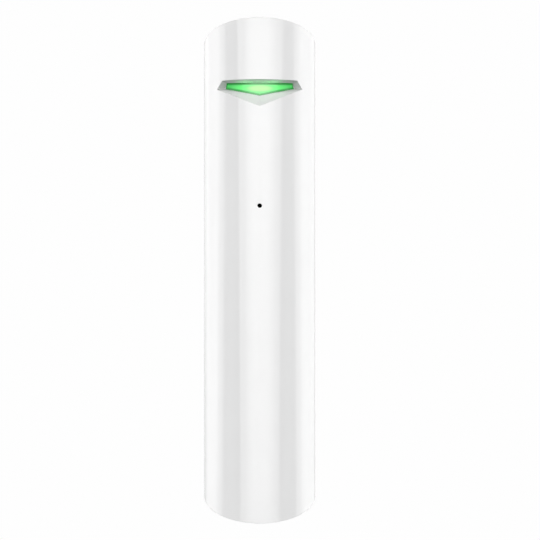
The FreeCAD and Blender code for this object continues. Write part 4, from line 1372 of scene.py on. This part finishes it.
@dataclass
class RearCase(SubAssembly):
    """The rear cover and the bracket on the wall."""

    edge: float = 0.12
    sharp: float = 35.0
    creased: float = 32.0
    weld: float = 0.002
    flat: float = 0.5
    sliver: float = 0.0002

    def softened(self, node: str, body: Body, slot: str, finish: Finish) -> None:
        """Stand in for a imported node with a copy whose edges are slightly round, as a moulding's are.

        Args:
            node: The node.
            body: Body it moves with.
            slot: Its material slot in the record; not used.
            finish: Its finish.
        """
        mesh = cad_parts[node].data.copy()
        mesh.name = f"soft_{node}"
        mesh.transform(Matrix.Scale(1 / MM, 4))
        build = bmesh.new()
        build.from_mesh(mesh)
        bmesh.ops.remove_doubles(build, verts=build.verts[:], dist=self.weld)
        bmesh.ops.dissolve_limit(
            build, angle_limit=math.radians(self.flat), verts=build.verts[:], edges=build.edges[:])
        build.normal_update()
        corners = [edge for edge in build.edges
                   if len(edge.link_faces) == 2 and edge.calc_face_angle(0.0) > math.radians(self.sharp)]
        rounded(build, corners, self.edge, loop_slide=True)
        bmesh.ops.dissolve_degenerate(build, edges=build.edges[:], dist=self.sliver)
        build.normal_update()
        for edge in build.edges:
            edge.smooth = len(edge.link_faces) == 2 and edge.calc_face_angle(0.0) < math.radians(self.creased)
        for face in build.faces:
            face.smooth = True
            face.material_index = 0
        build.to_mesh(mesh)
        build.free()
        old = mesh.attributes.get("custom_normal")
        if old:
            mesh.attributes.remove(old)
        mesh.materials.clear()
        mesh.materials.append(material_of(finish))
        piece = placed(mesh.name, mesh)
        flat_faces_kept(piece)
        handed_over(piece, body, [node])

    def build(self) -> None:
        """Stand in for both mouldings with softened copies."""
        self.softened("wall_bracket", Body.BRACKET, "bracket_white", BRACKET_ABS)
        self.softened("rear_cover", Body.DETECTOR, "cover_white", COVER_ABS)


@dataclass
class PowerPack(SubAssembly):
    """The cell and its contacts."""

    def build(self) -> None:
        """Dress the cell and the contacts."""
        dress({"lithium_cell": CELL_FILM, "positive_contact": SCREW_STEEL, "negative_contact": SCREW_STEEL})


@dataclass
class SoundPickup(SubAssembly):
    """The microphone, its rubber boot and the felt that keeps dust out of it."""

    face: float = 16.0
    level: float = 11.5
    felt_radius: float = 0.58
    felt_height: float = 0.25
    crown: float = 0.35
    columns: int = 24
    rings: int = 4

    def felt(self) -> None:
        """Make the felt: a low crowned disc on the capsule, inside the boot's channel."""
        build = bmesh.new()
        centre = build.verts.new((0.0, -self.face - self.felt_height, self.level))
        before = []
        for ring in range(1, self.rings + 2):
            share = min(1.0, ring / self.rings)
            rise = 0.0 if ring > self.rings else self.felt_height * (1 - self.crown * share ** 3)
            row = [build.verts.new((x, -self.face - rise, z))
                   for x, z in circle((0.0, self.level), self.felt_radius * share, self.columns)]
            for index in range(self.columns):
                after = (index + 1) % self.columns
                inner = (before[index], before[after]) if before else (centre,)
                build.faces.new((*inner, row[after], row[index]))
            before = row
        build.faces.new(before)
        felt = solid("microphone_felt", build)
        for face in felt.data.polygons:
            face.use_smooth = True
        felt.data.materials.append(material_of(FELT))
        handed_over(felt, Body.DETECTOR)

    def build(self) -> None:
        """Dress the capsule and the boot, and lay the felt on the capsule."""
        dress({"microphone_capsule": CAN_ALUMINIUM, "microphone_boot": BOOT_RUBBER})
        self.felt()


@dataclass
class Row:
    """One row of two-ended chip parts: its middle on the board, its side of it, and the parts' sizes."""

    name: str
    level: float
    front: bool
    count: int
    pitch: float
    size: Place = (1.6, 0.45, 0.8)
    cap: float = 0.3


@dataclass
class ControlBoard(SubAssembly):
    """The board with its chips, screws and rows of small parts."""

    front: float = 9.6
    back: float = 8.6
    rows: tuple[Row, ...] = (
        Row("upper_resistors", 28.7, True, 6, 1.9),
        Row("middle_resistors", 17.8, True, 6, 1.6, (1.0, 0.35, 0.5), 0.22),
        Row("top_resistors", 35.9, True, 4, 1.9),
        Row("rear_resistors", 14.3, False, 6, 1.9),
    )

    def small_parts(self) -> None:
        """Make each row by the rule and solder it to its side of the board."""
        rule = ChipRow()
        for row in self.rows:
            raised = row.size[1] / 2
            piece = rule.make(row.name, {
                "Count": row.count, "Pitch": row.pitch, "Size": row.size, "Cap": row.cap,
                "Place": (0.0, -self.front - raised if row.front else -self.back + raised, row.level),
                "Body finish": material_of(CHIP_EPOXY), "Cap finish": material_of(SHIELD_TIN)})
            handed_over(piece, Body.DETECTOR)

    def build(self) -> None:
        """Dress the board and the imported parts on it, and add the rows."""
        dress({"circuit_board": BOARD_LAMINATE, "board_screws": SCREW_STEEL, "processor_chip": CHIP_EPOXY,
               "amplifier_chip": CHIP_EPOXY, "quartz_crystal": SHIELD_TIN,
               "smoothing_capacitor": CAN_ALUMINIUM})
        self.small_parts()


@dataclass
class Switches(SubAssembly):
    """The tamper switch and the power switch, each a body with its button."""

    def build(self) -> None:
        """Dress the bodies and the buttons."""
        dress({"tamper_switch_body": CHIP_EPOXY, "tamper_plunger": BUTTON_ACETAL,
               "power_switch_body": CHIP_EPOXY, "power_plunger": BUTTON_ACETAL})


@dataclass
class Terminal(SubAssembly):
    """The two-way terminal for the lead of an outside detector."""

    def build(self) -> None:
        """Dress the block and its screws."""
        dress({"terminal_block": TERMINAL_NYLON, "terminal_screws": SCREW_STEEL})


@dataclass
class Radio(SubAssembly):
    """The can over the radio chip and the two stamped antennas."""

    def build(self) -> None:
        """Dress the can and the antennas."""
        dress({"radio_shield": SHIELD_TIN, "main_antenna": ANTENNA_BRASS, "second_antenna": ANTENNA_BRASS})


def main() -> None:
    """Build the studio and the sub-assemblies in order."""
    logging.basicConfig(level=logging.INFO, format="%(message)s")
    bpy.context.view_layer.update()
    Studio().build()
    for part in (FrontShell(), Indicator(), RearCase(), PowerPack(), SoundPickup(), ControlBoard(),
                 Switches(), Terminal(), Radio()):
        part.build()


if __name__ == "__main__":
    main()
